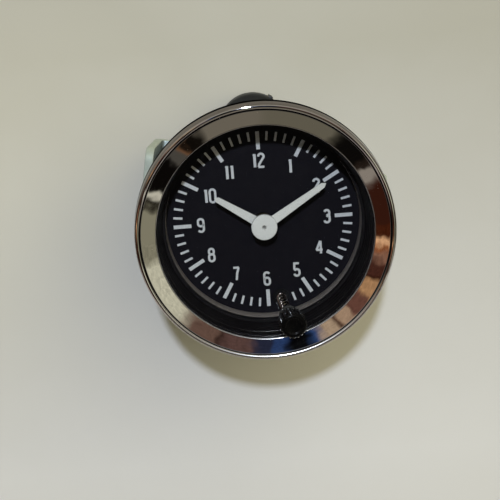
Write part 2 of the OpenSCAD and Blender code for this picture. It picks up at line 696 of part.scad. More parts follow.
// Two spade blades with bevelled tips and the small locking hole of such blades
module terminals() {
    tip = 1.2;
    top = cover_t + 1.2;
    back = -block_size[2] - blade_len;
    color("khaki") for (s = [-1, 1]) translate([s * terminal_at_x, terminal_y + blade_t / 2, z_cover])
        rotate([90, 0, 0]) linear_extrude(blade_t) difference() {
            polygon([[-blade_w / 2, top], [-blade_w / 2, back + tip], [-blade_w / 2 + tip, back],
                [blade_w / 2 - tip, back], [blade_w / 2, back + tip], [blade_w / 2, top]]);
            translate([0, back + 3.4]) circle(0.85);
        }
}
module mounting_studs() {
    color("silver") at_studs() {
        translate([0, 0, z_cover_in]) cylinder(r = stud_r + 1.4, h = 0.7);
        translate([0, 0, z_rest + 0.9]) cylinder(r = stud_r, h = z_cover_in - z_rest - 0.9);
        translate([0, 0, z_rest + 0.4]) cylinder(r1 = stud_r - 0.5, r2 = stud_r, h = 0.5);
    }
}
// U-shaped clamp bracket: bent strip whose legs widen to rounded feet, with a relief for the lamp holder
module bracket() {
    out = leg_at + strip_t;
    z_back = z_bar - strip_t;
    in_r = bend_r - strip_t;
    side = concat([[bracket_w / 2, z_back - 1], [bracket_w / 2, z_bar + 4]],
        arc(foot_w / 2 - corner_r, -foot_drop - corner_r, corner_r, 0, 90, 8));
    color([0.72, 0.77, 0.76]) rotate(bracket_turn) translate([bracket_shift, 0, 0]) difference() {
        intersection() {
            rotate([90, 0, 0]) translate([0, 0, -foot_w]) linear_extrude(2 * foot_w) difference() {
                polygon(concat([[-out, -foot_drop]],
                    arc(-out + bend_r, z_back + bend_r, bend_r, 180, 270, 8),
                    arc(out - bend_r, z_back + bend_r, bend_r, 270, 360, 8),
                    [[out, -foot_drop]]));
                polygon(concat([[-leg_at, 1]],
                    arc(-leg_at + in_r, z_bar + in_r, in_r, 180, 270, 6),
                    arc(leg_at - in_r, z_bar + in_r, in_r, 270, 360, 6),
                    [[leg_at, 1]]));
            }
            rotate([90, 0, 90]) translate([0, 0, -out - 1]) linear_extrude(2 * out + 2)
                polygon(concat(side, [for (p = reversed(side)) [-p[0], p[1]]]));
        }
        at_dirs(stud_at, [0, 180]) translate([0, 0, z_back - 1]) cylinder(r = stud_r + 0.4, h = strip_t + 2);
        rotate(lamp_dir - bracket_turn) translate([lamp_at_r, 0, z_back - 1])
            cylinder(r = lamp_grip_r + 1.2, h = strip_t + 2);
    }
}
// Serrated washers: a flat ring with teeth round its rim
module lock_washers() {
    color("silver") at_studs() translate([0, 0, z_nut])
        linear_extrude(washer_t) difference() {
            polygon([for (k = [0:11]) each [at(stud_r + 2.3, 30 * k), at(stud_r + 2.3, 30 * k + 14),
                at(stud_r + 1.5, 30 * k + 17), at(stud_r + 1.5, 30 * k + 27)]]);
            circle(stud_r + 0.15);
        }
}
module thumb_nuts() {
    color("silver") at_studs() translate([0, 0, z_rest]) difference() {
        ribbed_disc(nut_d / 2, nut_h, 30, knurl_depth, 0.5);
        translate([0, 0, -1]) cylinder(r = stud_r, h = nut_h + 2);
    }
}
// Ribbed knob: bevelled rims, a shallow dish in the face and a blind bore for the stem
module setting_knob() {
    dish_r = knob_r - 1.1;
    color([0.05, 0.05, 0.06]) on_stem(z_knob) difference() {
        ribbed_disc(knob_r, knob_h, knob_ribs, knurl_depth, 0.35);
        translate([0, 0, -1]) cylinder(r = stem_r, h = knob_h - knob_roof + 1);
        translate([0, 0, knob_h - 0.25]) cylinder(r1 = dish_r - 0.25, r2 = dish_r + 0.05, h = 0.3);
    }
}
module setting_stem() {
    z_end = z_plate_under - 0.8;
    color("silver") on_stem(z_end) cylinder(r = stem_r, h = z_knob + knob_h - knob_roof - z_end);
}
module setting_pinion() {
    hub_top = z_bush_under - 0.15;
    color("silver") on_stem(z_setting) {
        rotate(setting_turn) gear(setting_teeth, motion_module, pinion_form, wheel_t, stem_r);
        translate([0, 0, wheel_t]) tube(stem_r + 0.5, stem_r, hub_top - z_setting - wheel_t);
    }
}
// Spring cup that the stem turns in and the spring pushes on
module setting_collar() {
    color("silver") on_stem(z_collar) tube(spring_od / 2 + 0.25, stem_bore_r, collar_t);
}
module stem_bush() {
    color([0.05, 0.05, 0.06]) difference() {
        at_xy(stem_pos) union() {
            translate([0, 0, z_bush_under]) cylinder(r = bush_body_r, h = bush_drop + dial_t);
            translate([0, 0, z_dial]) cylinder(r = bush_flange_r, h = bush_flange_t);
        }
        on_stem(z_bush_under - 1) cylinder(r = stem_bore_r, h = bush_drop + dial_t + bush_flange_t + 2);
    }
}
// Coil spring: one tube of six sides, eight rings a turn. Its ends stand square on the bush and the collar.
coil_r = (spring_od - spring_wire) / 2;
z_coil_low = z_dial + bush_flange_t + coil_r * sin(stem_lean);
z_coil_high = z_collar;
coil_rise = z_coil_high - z_coil_low - 2 * spring_wire;
coil_steps = spring_turns * 8;
function coil_point(i) = let (a = 360 * i / 8) [coil_r * cos(a), coil_r * sin(a),
    z_coil_low + spring_wire + coil_rise * i / coil_steps];
coil_path = concat([[coil_r, 0, z_coil_low]], [for (i = [0:coil_steps]) coil_point(i)],
    [[coil_r, 0, z_coil_high]]);
last_ring = len(coil_path) - 1;
// Direction of the tube at ring i; the end rings lie flat
function along(i) = i == 0 || i == last_ring ? [0, 0, 1] :
    let (d = coil_path[i + 1] - coil_path[i - 1]) d / norm(d);
function ring(i) = let (p = coil_path[i], t = along(i), out = i == 0 || i == last_ring ? [1, 0, 0] :
        let (q = [p[0], p[1], 0]) q / norm(q), u = out - (out * t) * t, v = cross(t, u / norm(u)))
    [for (k = [0:5]) p + spring_wire / 2 * (u / norm(u) * cos(60 * k) + v * sin(60 * k))];
// Least gap between wires one turn or more apart
coil_gap = min([for (i = [0:coil_steps - 7]) for (j = [i + 7:min(i + 9, coil_steps)])
    norm(coil_point(j) - coil_point(i)) - spring_wire]);
echo(least_gap_in_the_spring_mm = coil_gap);
module setting_spring() {
    points = [for (i = [0:last_ring]) each ring(i)];
    sides = [for (i = [0:last_ring - 1]) for (k = [0:5]) let (a = 6 * i + k, b = 6 * i + (k + 1) % 6)
        each [[a, a + 6, b], [b, a + 6, b + 6]]];
    low_end = [for (k = [1:4]) [0, k, k + 1]];
    high_end = [for (k = [1:4]) [6 * last_ring, 6 * last_ring + k + 1, 6 * last_ring + k]];
    color("gray") on_stem(0) polyhedron(points, concat(sides, low_end, high_end));
}

bezel();
lens();
lens_seal();
lens_grommet();
shroud_ring();
light_ring();
dial();
minute_track();
dial_support();
hour_hand();
minute_hand();
hub_disc();
centre_arbor();
centre_wheel();
cannon_pinion();
hour_wheel();
minute_wheel();
minute_wheel_stud();
reduction_wheel();
motor_pinion();
stepper_motor();
front_plate();
rear_plate();
plate_pillars();
circuit_board();
quartz_can();
driver_chip();
capacitor();
case();
rear_cover();
case_screws();
movement_spacers();
lamp_holder();
lamp_bulb();
terminal_block();
terminals();
mounting_studs();
bracket();
lock_washers();
thumb_nuts();
setting_knob();
setting_stem();
setting_pinion();
setting_collar();
setting_spring();
stem_bush();
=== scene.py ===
"""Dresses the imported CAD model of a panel-mounted car clock for rendering, piece by piece."""

import json
import math

import bmesh
import bpy
from mathutils import Matrix, Vector

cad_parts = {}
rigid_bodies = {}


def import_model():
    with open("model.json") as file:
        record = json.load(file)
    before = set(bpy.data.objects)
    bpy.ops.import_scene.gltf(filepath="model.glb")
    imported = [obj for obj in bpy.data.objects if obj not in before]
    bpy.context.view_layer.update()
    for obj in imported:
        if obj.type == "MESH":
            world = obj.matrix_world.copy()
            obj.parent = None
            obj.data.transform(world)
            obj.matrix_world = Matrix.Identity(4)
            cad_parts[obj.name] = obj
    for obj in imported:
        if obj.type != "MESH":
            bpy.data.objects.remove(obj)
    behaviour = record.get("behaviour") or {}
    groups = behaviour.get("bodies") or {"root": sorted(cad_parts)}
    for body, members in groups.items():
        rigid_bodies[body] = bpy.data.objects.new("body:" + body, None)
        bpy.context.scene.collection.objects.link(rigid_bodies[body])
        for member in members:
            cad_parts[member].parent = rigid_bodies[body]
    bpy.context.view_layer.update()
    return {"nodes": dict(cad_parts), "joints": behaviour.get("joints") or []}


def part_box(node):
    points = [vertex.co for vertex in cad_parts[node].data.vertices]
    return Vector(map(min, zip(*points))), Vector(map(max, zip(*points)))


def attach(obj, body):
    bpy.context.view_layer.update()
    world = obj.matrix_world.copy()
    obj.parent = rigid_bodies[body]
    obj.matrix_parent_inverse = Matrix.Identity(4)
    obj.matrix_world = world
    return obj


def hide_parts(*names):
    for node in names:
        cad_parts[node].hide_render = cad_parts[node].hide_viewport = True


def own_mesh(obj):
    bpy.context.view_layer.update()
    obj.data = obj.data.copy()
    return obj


bl_info = {
    "name": "Car clock looks",
    "version": (1, 0, 0),
    "blender": (4, 5, 0),
    "location": "View3D > Sidebar > Clock",
    "description": "Builds the shown surfaces of a car clock over its CAD frame",
    "category": "Object",
}

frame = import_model()
MM = 0.001
UM = 0.001 * MM
TURN = 2 * math.pi


def joint(name):
    return [j for j in frame["joints"] if j["name"] == name][0]


def span(node):
    """Lowest and highest corner of a CAD node, in millimetres."""
    low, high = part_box(node)
    return low / MM, high / MM


# The setting stem leans: its foot in the dial's plane and its way up
STEM = Vector(joint("knob_turn")["pos_m"]) / MM
STEM_UP = -Vector(joint("knob_turn")["axis"]).normalized()
STEM_ON_DIAL = (STEM.x * MM, STEM.y * MM, 0.0)
BEZEL_HIGH = span("bezel")[1]
DIAL_LOW, DIAL_HIGH = span("dial")
HUB_LOW, HUB_HIGH = span("hub_disc")
NUT_LOW, NUT_HIGH = span("thumb_nuts")
FLOOR_Z = NUT_LOW.z


def linear(code):
    """An sRGB hex colour as the linear values that shaders take."""
    parts = [int(code[i : i + 2], 16) / 255 for i in (1, 3, 5)]
    return tuple(c / 12.92 if c <= 0.04045 else ((c + 0.055) / 1.055) ** 2.4 for c in parts)


def length(label, description, default_mm):
    return bpy.props.FloatProperty(
        name=label, description=description, default=default_mm * MM, min=0.0, precision=5, unit="LENGTH"
    )


def level(label, description, default_mm):
    return bpy.props.FloatProperty(
        name=label, description=description, default=default_mm * MM, precision=5, unit="LENGTH"
    )


def colour(label, description, code):
    return bpy.props.FloatVectorProperty(
        name=label, description=description, default=linear(code), min=0.0, max=1.0, subtype="COLOR"
    )


class ClockSizes(bpy.types.PropertyGroup):
    """Sizes of the shown pieces."""

    opening_radius: length("Opening radius", "Edge of the bezel's opening", 24.8)
    rim_height: length("Rim height", "Height of the opening's edge above the panel", 5.5)
    slope_rise: length("Slope rise", "Rise of the bezel's sloped face", 1.1)
    sheet: length("Sheet", "Thickness of the bezel's sheet", 0.65)
    mark_radius: length("Mark radius", "Outer ends of the marks", 21.7)
    minute_mark: length("Minute mark", "Length of a minute mark", 2.2)
    hour_mark: length("Hour mark", "Length of an hour mark", 4.3)
    minute_width: length("Minute width", "Width of a minute mark", 0.55)
    hour_width: length("Hour width", "Width of an hour mark", 0.9)
    numeral_height: length("Numeral height", "Height of the numerals", 3.7)
    numeral_width: length("Numeral width", "Width of a wide numeral", 1.85)
    numeral_stroke: length("Numeral stroke", "Width of the numerals' strokes", 0.54)
    hand_root: length("Hand root", "Width of the hands at the hub", 2.15)
    hand_tip: length("Hand tip", "Width of the hands before the point", 1.3)
    minute_hand: length("Minute hand", "Length of the minute hand", 17.7)
    hour_hand: length("Hour hand", "Length of the hour hand", 13.5)
    knob_ribs: bpy.props.IntProperty(name="Knob ribs", description="Ribs round the knob", default=20, min=6)
    nut_ribs: bpy.props.IntProperty(name="Nut ribs", description="Ribs round a nut", default=30, min=6)
    rib_depth: length("Rib depth", "Depth of the ribs on knob and nuts", 0.35)
    knob_radius: length("Knob radius", "Radius of the knob over its ribs", 3.1)
    knob_level: level("Knob level", "Underside of the knob above the panel", 6.9)
    knob_height: length("Knob height", "Height of the knob", 4.8)
    spring_foot: level("Spring foot", "Lower end of the spring", -9.01)
    spring_head: level("Spring head", "Upper end of the spring", 1.7)
    spring_wire: length("Spring wire", "Thickness of the spring's wire", 0.35)
    spring_radius: length("Spring radius", "Mean radius of the spring", 1.025)
    spring_turns: bpy.props.FloatProperty(
        name="Spring turns", description="Open turns of the spring", default=6, min=2
    )


class ClockColours(bpy.types.PropertyGroup):
    """Main colours of the shown pieces."""

    chrome: colour("Chrome", "Chromium plate", "#CDCCCB")
    dial: colour("Dial", "Dial paint", "#0B0811")
    print_white: colour("Print", "Marks and numerals", "#D3D2D5")
    hand: colour("Hands", "Hands and hub", "#DBD8D4")
    shroud: colour("Shroud", "Black moulded rings", "#090709")
    light_ring: colour("Light ring", "Translucent ring round the dial", "#7C726C")
    knob: colour("Knob", "Knob moulding", "#050506")
    holder: colour("Lamp holder", "Lamp holder moulding", "#0D0F14")
    zinc: colour("Zinc", "Zinc-plated steel", "#A9B3AC")
    floor: colour("Floor", "Table top at 6 o'clock's side", "#DCDDE4")


def own_names(group):
    """Names of the sizes or colours in a property group."""
    return [name for name in group.bl_rna.properties.keys() if name not in ("rna_type", "name")]


def sizes_mm():
    """The sizes in millimetres, by name; counts stay as they are."""
    group = bpy.context.scene.clock_sizes
    read = {}
    for name in own_names(group):
        value = getattr(group, name)
        is_length = getattr(group.bl_rna.properties[name], "unit", "NONE") == "LENGTH"
        read[name] = value / MM if is_length else value
    return read


def add_node(tree, kind, settings=None, out=0):
    """Adds a node, sets its attributes and input values, and links the sockets given for its inputs.

    It returns one output, or the node itself where out is None.
    """
    node = tree.nodes.new(kind)
    for key, value in (settings or {}).items():
        if isinstance(value, bpy.types.NodeSocket):
            tree.links.new(value, node.inputs[key])
        elif isinstance(key, int) or key in node.inputs:
            target = node.inputs[key]
            target.default_value = (*value, 1.0) if target.type == "RGBA" else value
        else:
            setattr(node, key, value)
    return node if out is None else node.outputs[out]


# A noise seldom leaves the middle of its range, so this stretch is spread over the whole
MIDDLE = {"From Min": 0.3, "From Max": 0.7}
# Soft clouds, and a grain with finer detail in it
CLOUDS = {"Detail": 3.0, "Roughness": 0.55}
GRAIN = {"Detail": 4.0, "Roughness": 0.6}
# Width of one band of a wave texture at a scale of 1
WAVE_BAND = 0.314


def scale_for(size_mm):
    """Scale of a pattern whose features are about that many millimetres across."""
    return 1 / (size_mm * MM)


def new_material(name):
    """A material that holds only object coordinates; returns it, its tree and those coordinates."""
    material = bpy.data.materials.new(name)
    material.use_nodes = True
    tree = material.node_tree
    tree.nodes.clear()
    return material, tree, add_node(tree, "ShaderNodeTexCoord", out="Object")


def surface(name, base, worn, rough, mottle_mm, grain_mm, grain_um, stretch=(1, 1, 1), sockets=None):
    """A moulded, painted or metal surface: two tones in soft patches, uneven gloss and a fine relief.

    rough is (smoothest, roughest). mottle_mm is the size of the patches; grain_mm and grain_um are the pitch
    and depth of the relief. stretch draws the grain out along an axis, as rolling or drawing does.
    """
    material, tree, place = new_material(name)
    drawn = add_node(tree, "ShaderNodeMapping", {"Vector": place, "Scale": stretch})
    clouds = add_node(tree, "ShaderNodeTexNoise", {"Vector": drawn, "Scale": scale_for(mottle_mm), **CLOUDS})
    patches = add_node(tree, "ShaderNodeMapRange", {"Value": clouds, **MIDDLE})
    tone = add_node(tree, "ShaderNodeMix", {"data_type": "RGBA", 0: patches, 6: base, 7: worn}, out=2)
    gloss = add_node(tree, "ShaderNodeMapRange", {"Value": patches, "To Min": rough[0], "To Max": rough[1]})
    grain = add_node(tree, "ShaderNodeTexNoise", {"Vector": drawn, "Scale": scale_for(grain_mm), **GRAIN})
    relief = add_node(tree, "ShaderNodeBump", {"Height": grain, "Strength": 0.7, "Distance": grain_um * UM})
    shader = add_node(
        tree,
        "ShaderNodeBsdfPrincipled",
        {"Base Color": tone, "Roughness": gloss, "Normal": relief, **(sockets or {})},
    )
    add_node(tree, "ShaderNodeOutputMaterial", {"Surface": shader}, out=None)
    return material


def turned_metal(name, base, pitch_mm, centre, rough=(0.2, 0.34)):
    """Turned metal: fine rings round the axis, as the cutting tool leaves them, and soft duller patches."""
    material, tree, place = new_material(name)
    axis = (centre[0] * MM, centre[1] * MM, 0)
    place = add_node(tree, "ShaderNodeMapping", {"vector_type": "TEXTURE", "Vector": place, "Location": axis})
    rings = add_node(
        tree,
        "ShaderNodeTexWave",
        {
            "wave_type": "BANDS",
            "bands_direction": "Z",
            "Vector": place,
            "Scale": WAVE_BAND * scale_for(pitch_mm),
            "Distortion": 1.5,
            "Detail": 2.0,
        },
        out="Fac",
    )
    clouds = add_node(tree, "ShaderNodeTexNoise", {"Vector": place, "Scale": scale_for(1.2), **CLOUDS})
    patches = add_node(tree, "ShaderNodeMapRange", {"Value": clouds, **MIDDLE})
    duller = [c * 0.72 for c in base]
    tone = add_node(tree, "ShaderNodeMix", {"data_type": "RGBA", 0: patches, 6: base, 7: duller}, out=2)
    gloss = add_node(tree, "ShaderNodeMapRange", {"Value": patches, "To Min": rough[0], "To Max": rough[1]})
    relief = add_node(tree, "ShaderNodeBump", {"Height": rings, "Strength": 0.35, "Distance": 8 * UM})
    shader = add_node(
        tree,
        "ShaderNodeBsdfPrincipled",
        {"Metallic": 1.0, "Base Color": tone, "Roughness": gloss, "Normal": relief},
    )
    add_node(tree, "ShaderNodeOutputMaterial", {"Surface": shader}, out=None)
    return material


def chromium_plate(base, opening_mm, outer_mm):
    """Chromium over pressed and polished steel.

    It is a mirror that the pressing leaves slightly wavy, with wipe marks and a few specks of dust that dull
    it. The edge of the opening is only brushed, so it shows as a thin pale line, and painted shade darkens
    the groove beside the roll nearly to black. The roll's inner half is brushed too at 6 o'clock's side,
    where a lamp shows as a faint line. Down the side, painted shade darkens the plating and dims what it
    mirrors, most at 12 o'clock's side, with drawing lines in it, and the foot is painted black as shade.
    """
    material, tree, place = new_material("chromium_plate_on_pressed_steel")
    flat = add_node(tree, "ShaderNodeVectorMath", {"operation": "MULTIPLY", 0: place, 1: (1, 1, 0)})
    away = add_node(tree, "ShaderNodeVectorMath", {"operation": "LENGTH", 0: flat}, out="Value")
    north = add_node(tree, "ShaderNodeSeparateXYZ", {0: place}, out="Y")
    height = add_node(tree, "ShaderNodeSeparateXYZ", {0: place}, out="Z")
    # Each zone goes from 0 to 1 as its measure passes from the first to the second length in millimetres
    zones = {}
    # The groove, the side and the foot are the zones where painted shade goes
    for name, measure, start, end in (
        ("edge", away, opening_mm + 0.15, opening_mm + 0.07),
        ("groove_inside", away, outer_mm - 1.95, outer_mm - 1.82),
        ("groove_outside", away, outer_mm - 1.48, outer_mm - 1.6),
        ("roll", away, outer_mm - 1.72, outer_mm - 1.6),
        ("side", away, outer_mm - 0.75, outer_mm - 0.6),
        ("foot", height, 3.3, 3.0),
        ("at_6", north, -10, -16),
        ("at_12", north, -8, 2),
    ):
        passing = {"Value": measure, "From Min": start * MM, "From Max": end * MM}
        zones[name] = add_node(tree, "ShaderNodeMapRange", passing)
    brushed = add_node(tree, "ShaderNodeMath", {"operation": "MULTIPLY", 0: zones["roll"], 1: zones["at_6"]})
    # Share of the painted shade down the side: a quarter on 6 o'clock's side, whole on 12 o'clock's
    haze = add_node(tree, "ShaderNodeMapRange", {"Value": zones["at_12"], "To Min": 0.25, "To Max": 1.0})
    side_shade = add_node(tree, "ShaderNodeMath", {"operation": "MULTIPLY", 0: zones["side"], 1: haze})
    # Painted shade blackens the groove beside the roll, and the foot with it
    groove = {"operation": "MULTIPLY", 0: zones["groove_inside"], 1: zones["groove_outside"]}
    groove_shade = add_node(tree, "ShaderNodeMath", groove)
    dark = add_node(tree, "ShaderNodeMath", {"operation": "MAXIMUM", 0: zones["foot"], 1: groove_shade})

    cells = add_node(tree, "ShaderNodeTexVoronoi", {"Vector": place, "Scale": scale_for(0.9)}, out="Distance")
    specks = add_node(tree, "ShaderNodeMapRange", {"Value": cells, "From Min": 0.09, "From Max": 0.04})
    places = add_node(
        tree,
        "ShaderNodeTexNoise",
        {"Vector": place, "Scale": scale_for(2.5), "Detail": 1.0, "Roughness": 0.55},
    )
    chosen = add_node(tree, "ShaderNodeMapRange", {"Value": places, "From Min": 0.58, "From Max": 0.62})
    dust = add_node(tree, "ShaderNodeMath", {"operation": "MULTIPLY", 0: specks, 1: chosen})

    upright = add_node(tree, "ShaderNodeMapping", {"Vector": place, "Scale": (1, 1, 8)})
    lines = add_node(tree, "ShaderNodeTexNoise", {"Vector": upright, "Scale": scale_for(6.0), **CLOUDS})
    streaks = add_node(tree, "ShaderNodeMapRange", {"Value": lines, "From Min": 0.25, "From Max": 0.75})
    # Colours of the painted shade down the side, with drawing lines in it
    thin, thick = linear("#7F7A79"), linear("#A9A3A2")
    side_shade_colour = add_node(tree, "ShaderNodeMix", {"data_type": "RGBA", 0: streaks, 6: thin, 7: thick}, out=2)
    polished = add_node(
        tree, "ShaderNodeMix", {"data_type": "RGBA", 0: dust, 6: base, 7: linear("#D8CFC2")}, out=2
    )
    plated = add_node(tree, "ShaderNodeMix", {"data_type": "RGBA", 0: side_shade, 6: polished, 7: side_shade_colour}, out=2)
    # Near black of the painted shade in the groove and on the foot
    black = linear("#0C0B0B")
    tone = add_node(tree, "ShaderNodeMix", {"data_type": "RGBA", 0: dark, 6: plated, 7: black}, out=2)
    # Painted shade also dims what the side mirrors, and all but blacks out what the groove and the foot
    # mirror
    bare, side_shade_tint, painted_shade_tint = (1, 1, 1), (0.5, 0.47, 0.46), (0.03, 0.03, 0.03)
    side_reflection_shade = add_node(tree, "ShaderNodeMix", {"data_type": "RGBA", 0: side_shade, 6: bare, 7: side_shade_tint}, out=2)
    tint = add_node(tree, "ShaderNodeMix", {"data_type": "RGBA", 0: dark, 6: side_reflection_shade, 7: painted_shade_tint}, out=2)

    wiped_along = {"vector_type": "TEXTURE", "Vector": place, "Rotation": (0, 0, 0.6), "Scale": (1, 1 / 6, 1)}
    wiped = add_node(tree, "ShaderNodeMapping", wiped_along)
    wipes = add_node(
        tree,
        "ShaderNodeTexNoise",
        {"Vector": wiped, "Scale": scale_for(1.6), "Detail": 4.0, "Roughness": 0.55},
    )
    clean = add_node(tree, "ShaderNodeMapRange", {"Value": wipes, **MIDDLE, "To Min": 0.015, "To Max": 0.05})
    rough = add_node(tree, "ShaderNodeMath", {"operation": "MULTIPLY_ADD", 0: dust, 1: 0.4, 2: clean})
    for zone, roughness in ((brushed, 0.24), (dark, 0.5), (zones["edge"], 0.3)):
        rough = add_node(tree, "ShaderNodeMix", {"data_type": "FLOAT", 0: zone, 2: rough, 3: roughness})

    waves = add_node(
        tree,
        "ShaderNodeTexNoise",
        {"Vector": place, "Scale": scale_for(5.0), "Detail": 1.0, "Roughness": 0.4},
    )
    relief = add_node(tree, "ShaderNodeBump", {"Height": waves, "Strength": 0.5, "Distance": 120 * UM})
    shader = add_node(
        tree,
        "ShaderNodeBsdfPrincipled",
        {"Metallic": 1.0, "Base Color": tone, "Roughness": rough, "Specular Tint": tint, "Normal": relief},
    )
    add_node(tree, "ShaderNodeOutputMaterial", {"Surface": shader}, out=None)
    return material


def passivated_strip(base):
    """Zinc plate with a thin blue passivation over rolled strip.

    The sheared edges are matte and grey-green; the rolled faces are bluish and darker, partly as painted
    shade, with cloudy spots and fine lines along the strip.
    """
    material, tree, place = new_material("passivated_zinc_on_rolled_strip")
    facing = add_node(tree, "ShaderNodeNewGeometry", out="Normal")
    across_strip = (0.19, 0.98, 0.0)
    turned = add_node(
        tree, "ShaderNodeVectorMath", {"operation": "DOT_PRODUCT", 0: facing, 1: across_strip}, out="Value"
    )
    sheared = add_node(tree, "ShaderNodeMath", {"operation": "ABSOLUTE", 0: turned})
    edges = add_node(tree, "ShaderNodeMapRange", {"Value": sheared, "From Min": 0.1, "From Max": 0.3})
    height = add_node(tree, "ShaderNodeSeparateXYZ", {0: place}, out="Z")
    top = span("bracket")[1].z
    near_top = {"Value": height, "From Min": (top - 1.0) * MM, "From Max": (top - 0.8) * MM}
    tips = add_node(tree, "ShaderNodeMapRange", near_top)
    ends = add_node(tree, "ShaderNodeMath", {"operation": "MAXIMUM", 0: edges, 1: tips})

    spots = add_node(tree, "ShaderNodeTexNoise", {"Vector": place, "Scale": scale_for(2.6), **GRAIN})
    shares = add_node(tree, "ShaderNodeMapRange", {"Value": spots, "From Min": 0.25, "From Max": 0.75})
    # The rolled faces are dark partly as painted shade
    deep, pale = linear("#424C52"), linear("#687680")
    rolled = add_node(tree, "ShaderNodeMix", {"data_type": "RGBA", 0: shares, 6: deep, 7: pale}, out=2)
    patches = add_node(tree, "ShaderNodeMapRange", {"Value": spots, **MIDDLE})
    duller = [v * 0.8 for v in base]
    matte = add_node(tree, "ShaderNodeMix", {"data_type": "RGBA", 0: patches, 6: base, 7: duller}, out=2)
    tone = add_node(tree, "ShaderNodeMix", {"data_type": "RGBA", 0: ends, 6: rolled, 7: matte}, out=2)
    metallic = add_node(tree, "ShaderNodeMapRange", {"Value": ends, "To Min": 1.0, "To Max": 0.35})
    gloss = add_node(tree, "ShaderNodeMapRange", {"Value": patches, "To Min": 0.3, "To Max": 0.5})
    rough = add_node(tree, "ShaderNodeMix", {"data_type": "FLOAT", 0: ends, 2: gloss, 3: 0.62})

    along = add_node(tree, "ShaderNodeMapping", {"Vector": place, "Scale": (1, 1, 0.12)})
    lines = add_node(tree, "ShaderNodeTexNoise", {"Vector": along, "Scale": scale_for(0.3), **GRAIN})
    relief = add_node(tree, "ShaderNodeBump", {"Height": lines, "Strength": 0.7, "Distance": 12 * UM})
    shader = add_node(
        tree,
        "ShaderNodeBsdfPrincipled",
        {"Base Color": tone, "Metallic": metallic, "Roughness": rough, "Normal": relief},
    )
    add_node(tree, "ShaderNodeOutputMaterial", {"Surface": shader}, out=None)
    return material


def clear_glass(name):
    """Polished glass: clear straight through, with a faint mirror image that grows towards grazing views."""
    material, tree, place = new_material(name)
    smears = add_node(tree, "ShaderNodeTexNoise", {"Vector": place, "Scale": scale_for(6.0), **CLOUDS})
    haze = add_node(tree, "ShaderNodeMapRange", {"Value": smears, **MIDDLE, "To Min": 0.03, "To Max": 0.09})
    mirror = add_node(tree, "ShaderNodeBsdfGlossy", {"Color": (1, 1, 1), "Roughness": haze})
    clear = add_node(tree, "ShaderNodeBsdfTransparent", {"Color": (0.985, 0.995, 0.99)})
    share = add_node(tree, "ShaderNodeFresnel", {"IOR": 1.45})
    glass = add_node(tree, "ShaderNodeMixShader", {0: share, 1: clear, 2: mirror})
    add_node(tree, "ShaderNodeOutputMaterial", {"Surface": glass}, out=None)
    return material


def printed_ink(name, base, worn_share):
    """Screen-printed ink or sprayed enamel: flat colour with a soft cloudiness and tiny duller spots."""
    material, tree, place = new_material(name)
    clouds = add_node(
        tree,
        "ShaderNodeTexNoise",
        {"Vector": place, "Scale": scale_for(0.5), "Detail": 5.0, "Roughness": 0.7},
    )
    spots = add_node(tree, "ShaderNodeMapRange", {"Value": clouds, "From Min": 0.35, "From Max": 0.75})
    worn = [v * worn_share for v in base]
    tone = add_node(tree, "ShaderNodeMix", {"data_type": "RGBA", 0: spots, 6: base, 7: worn}, out=2)
    gloss = add_node(tree, "ShaderNodeMapRange", {"Value": clouds, **MIDDLE, "To Min": 0.42, "To Max": 0.62})
    grain = add_node(tree, "ShaderNodeTexNoise", {"Vector": place, "Scale": scale_for(0.12), **CLOUDS})
    relief = add_node(tree, "ShaderNodeBump", {"Height": grain, "Strength": 0.4, "Distance": 10 * UM})
    shader = add_node(
        tree,
        "ShaderNodeBsdfPrincipled",
        {"Specular IOR Level": 0.35, "Base Color": tone, "Roughness": gloss, "Normal": relief},
    )
    add_node(tree, "ShaderNodeOutputMaterial", {"Surface": shader}, out=None)
    return material


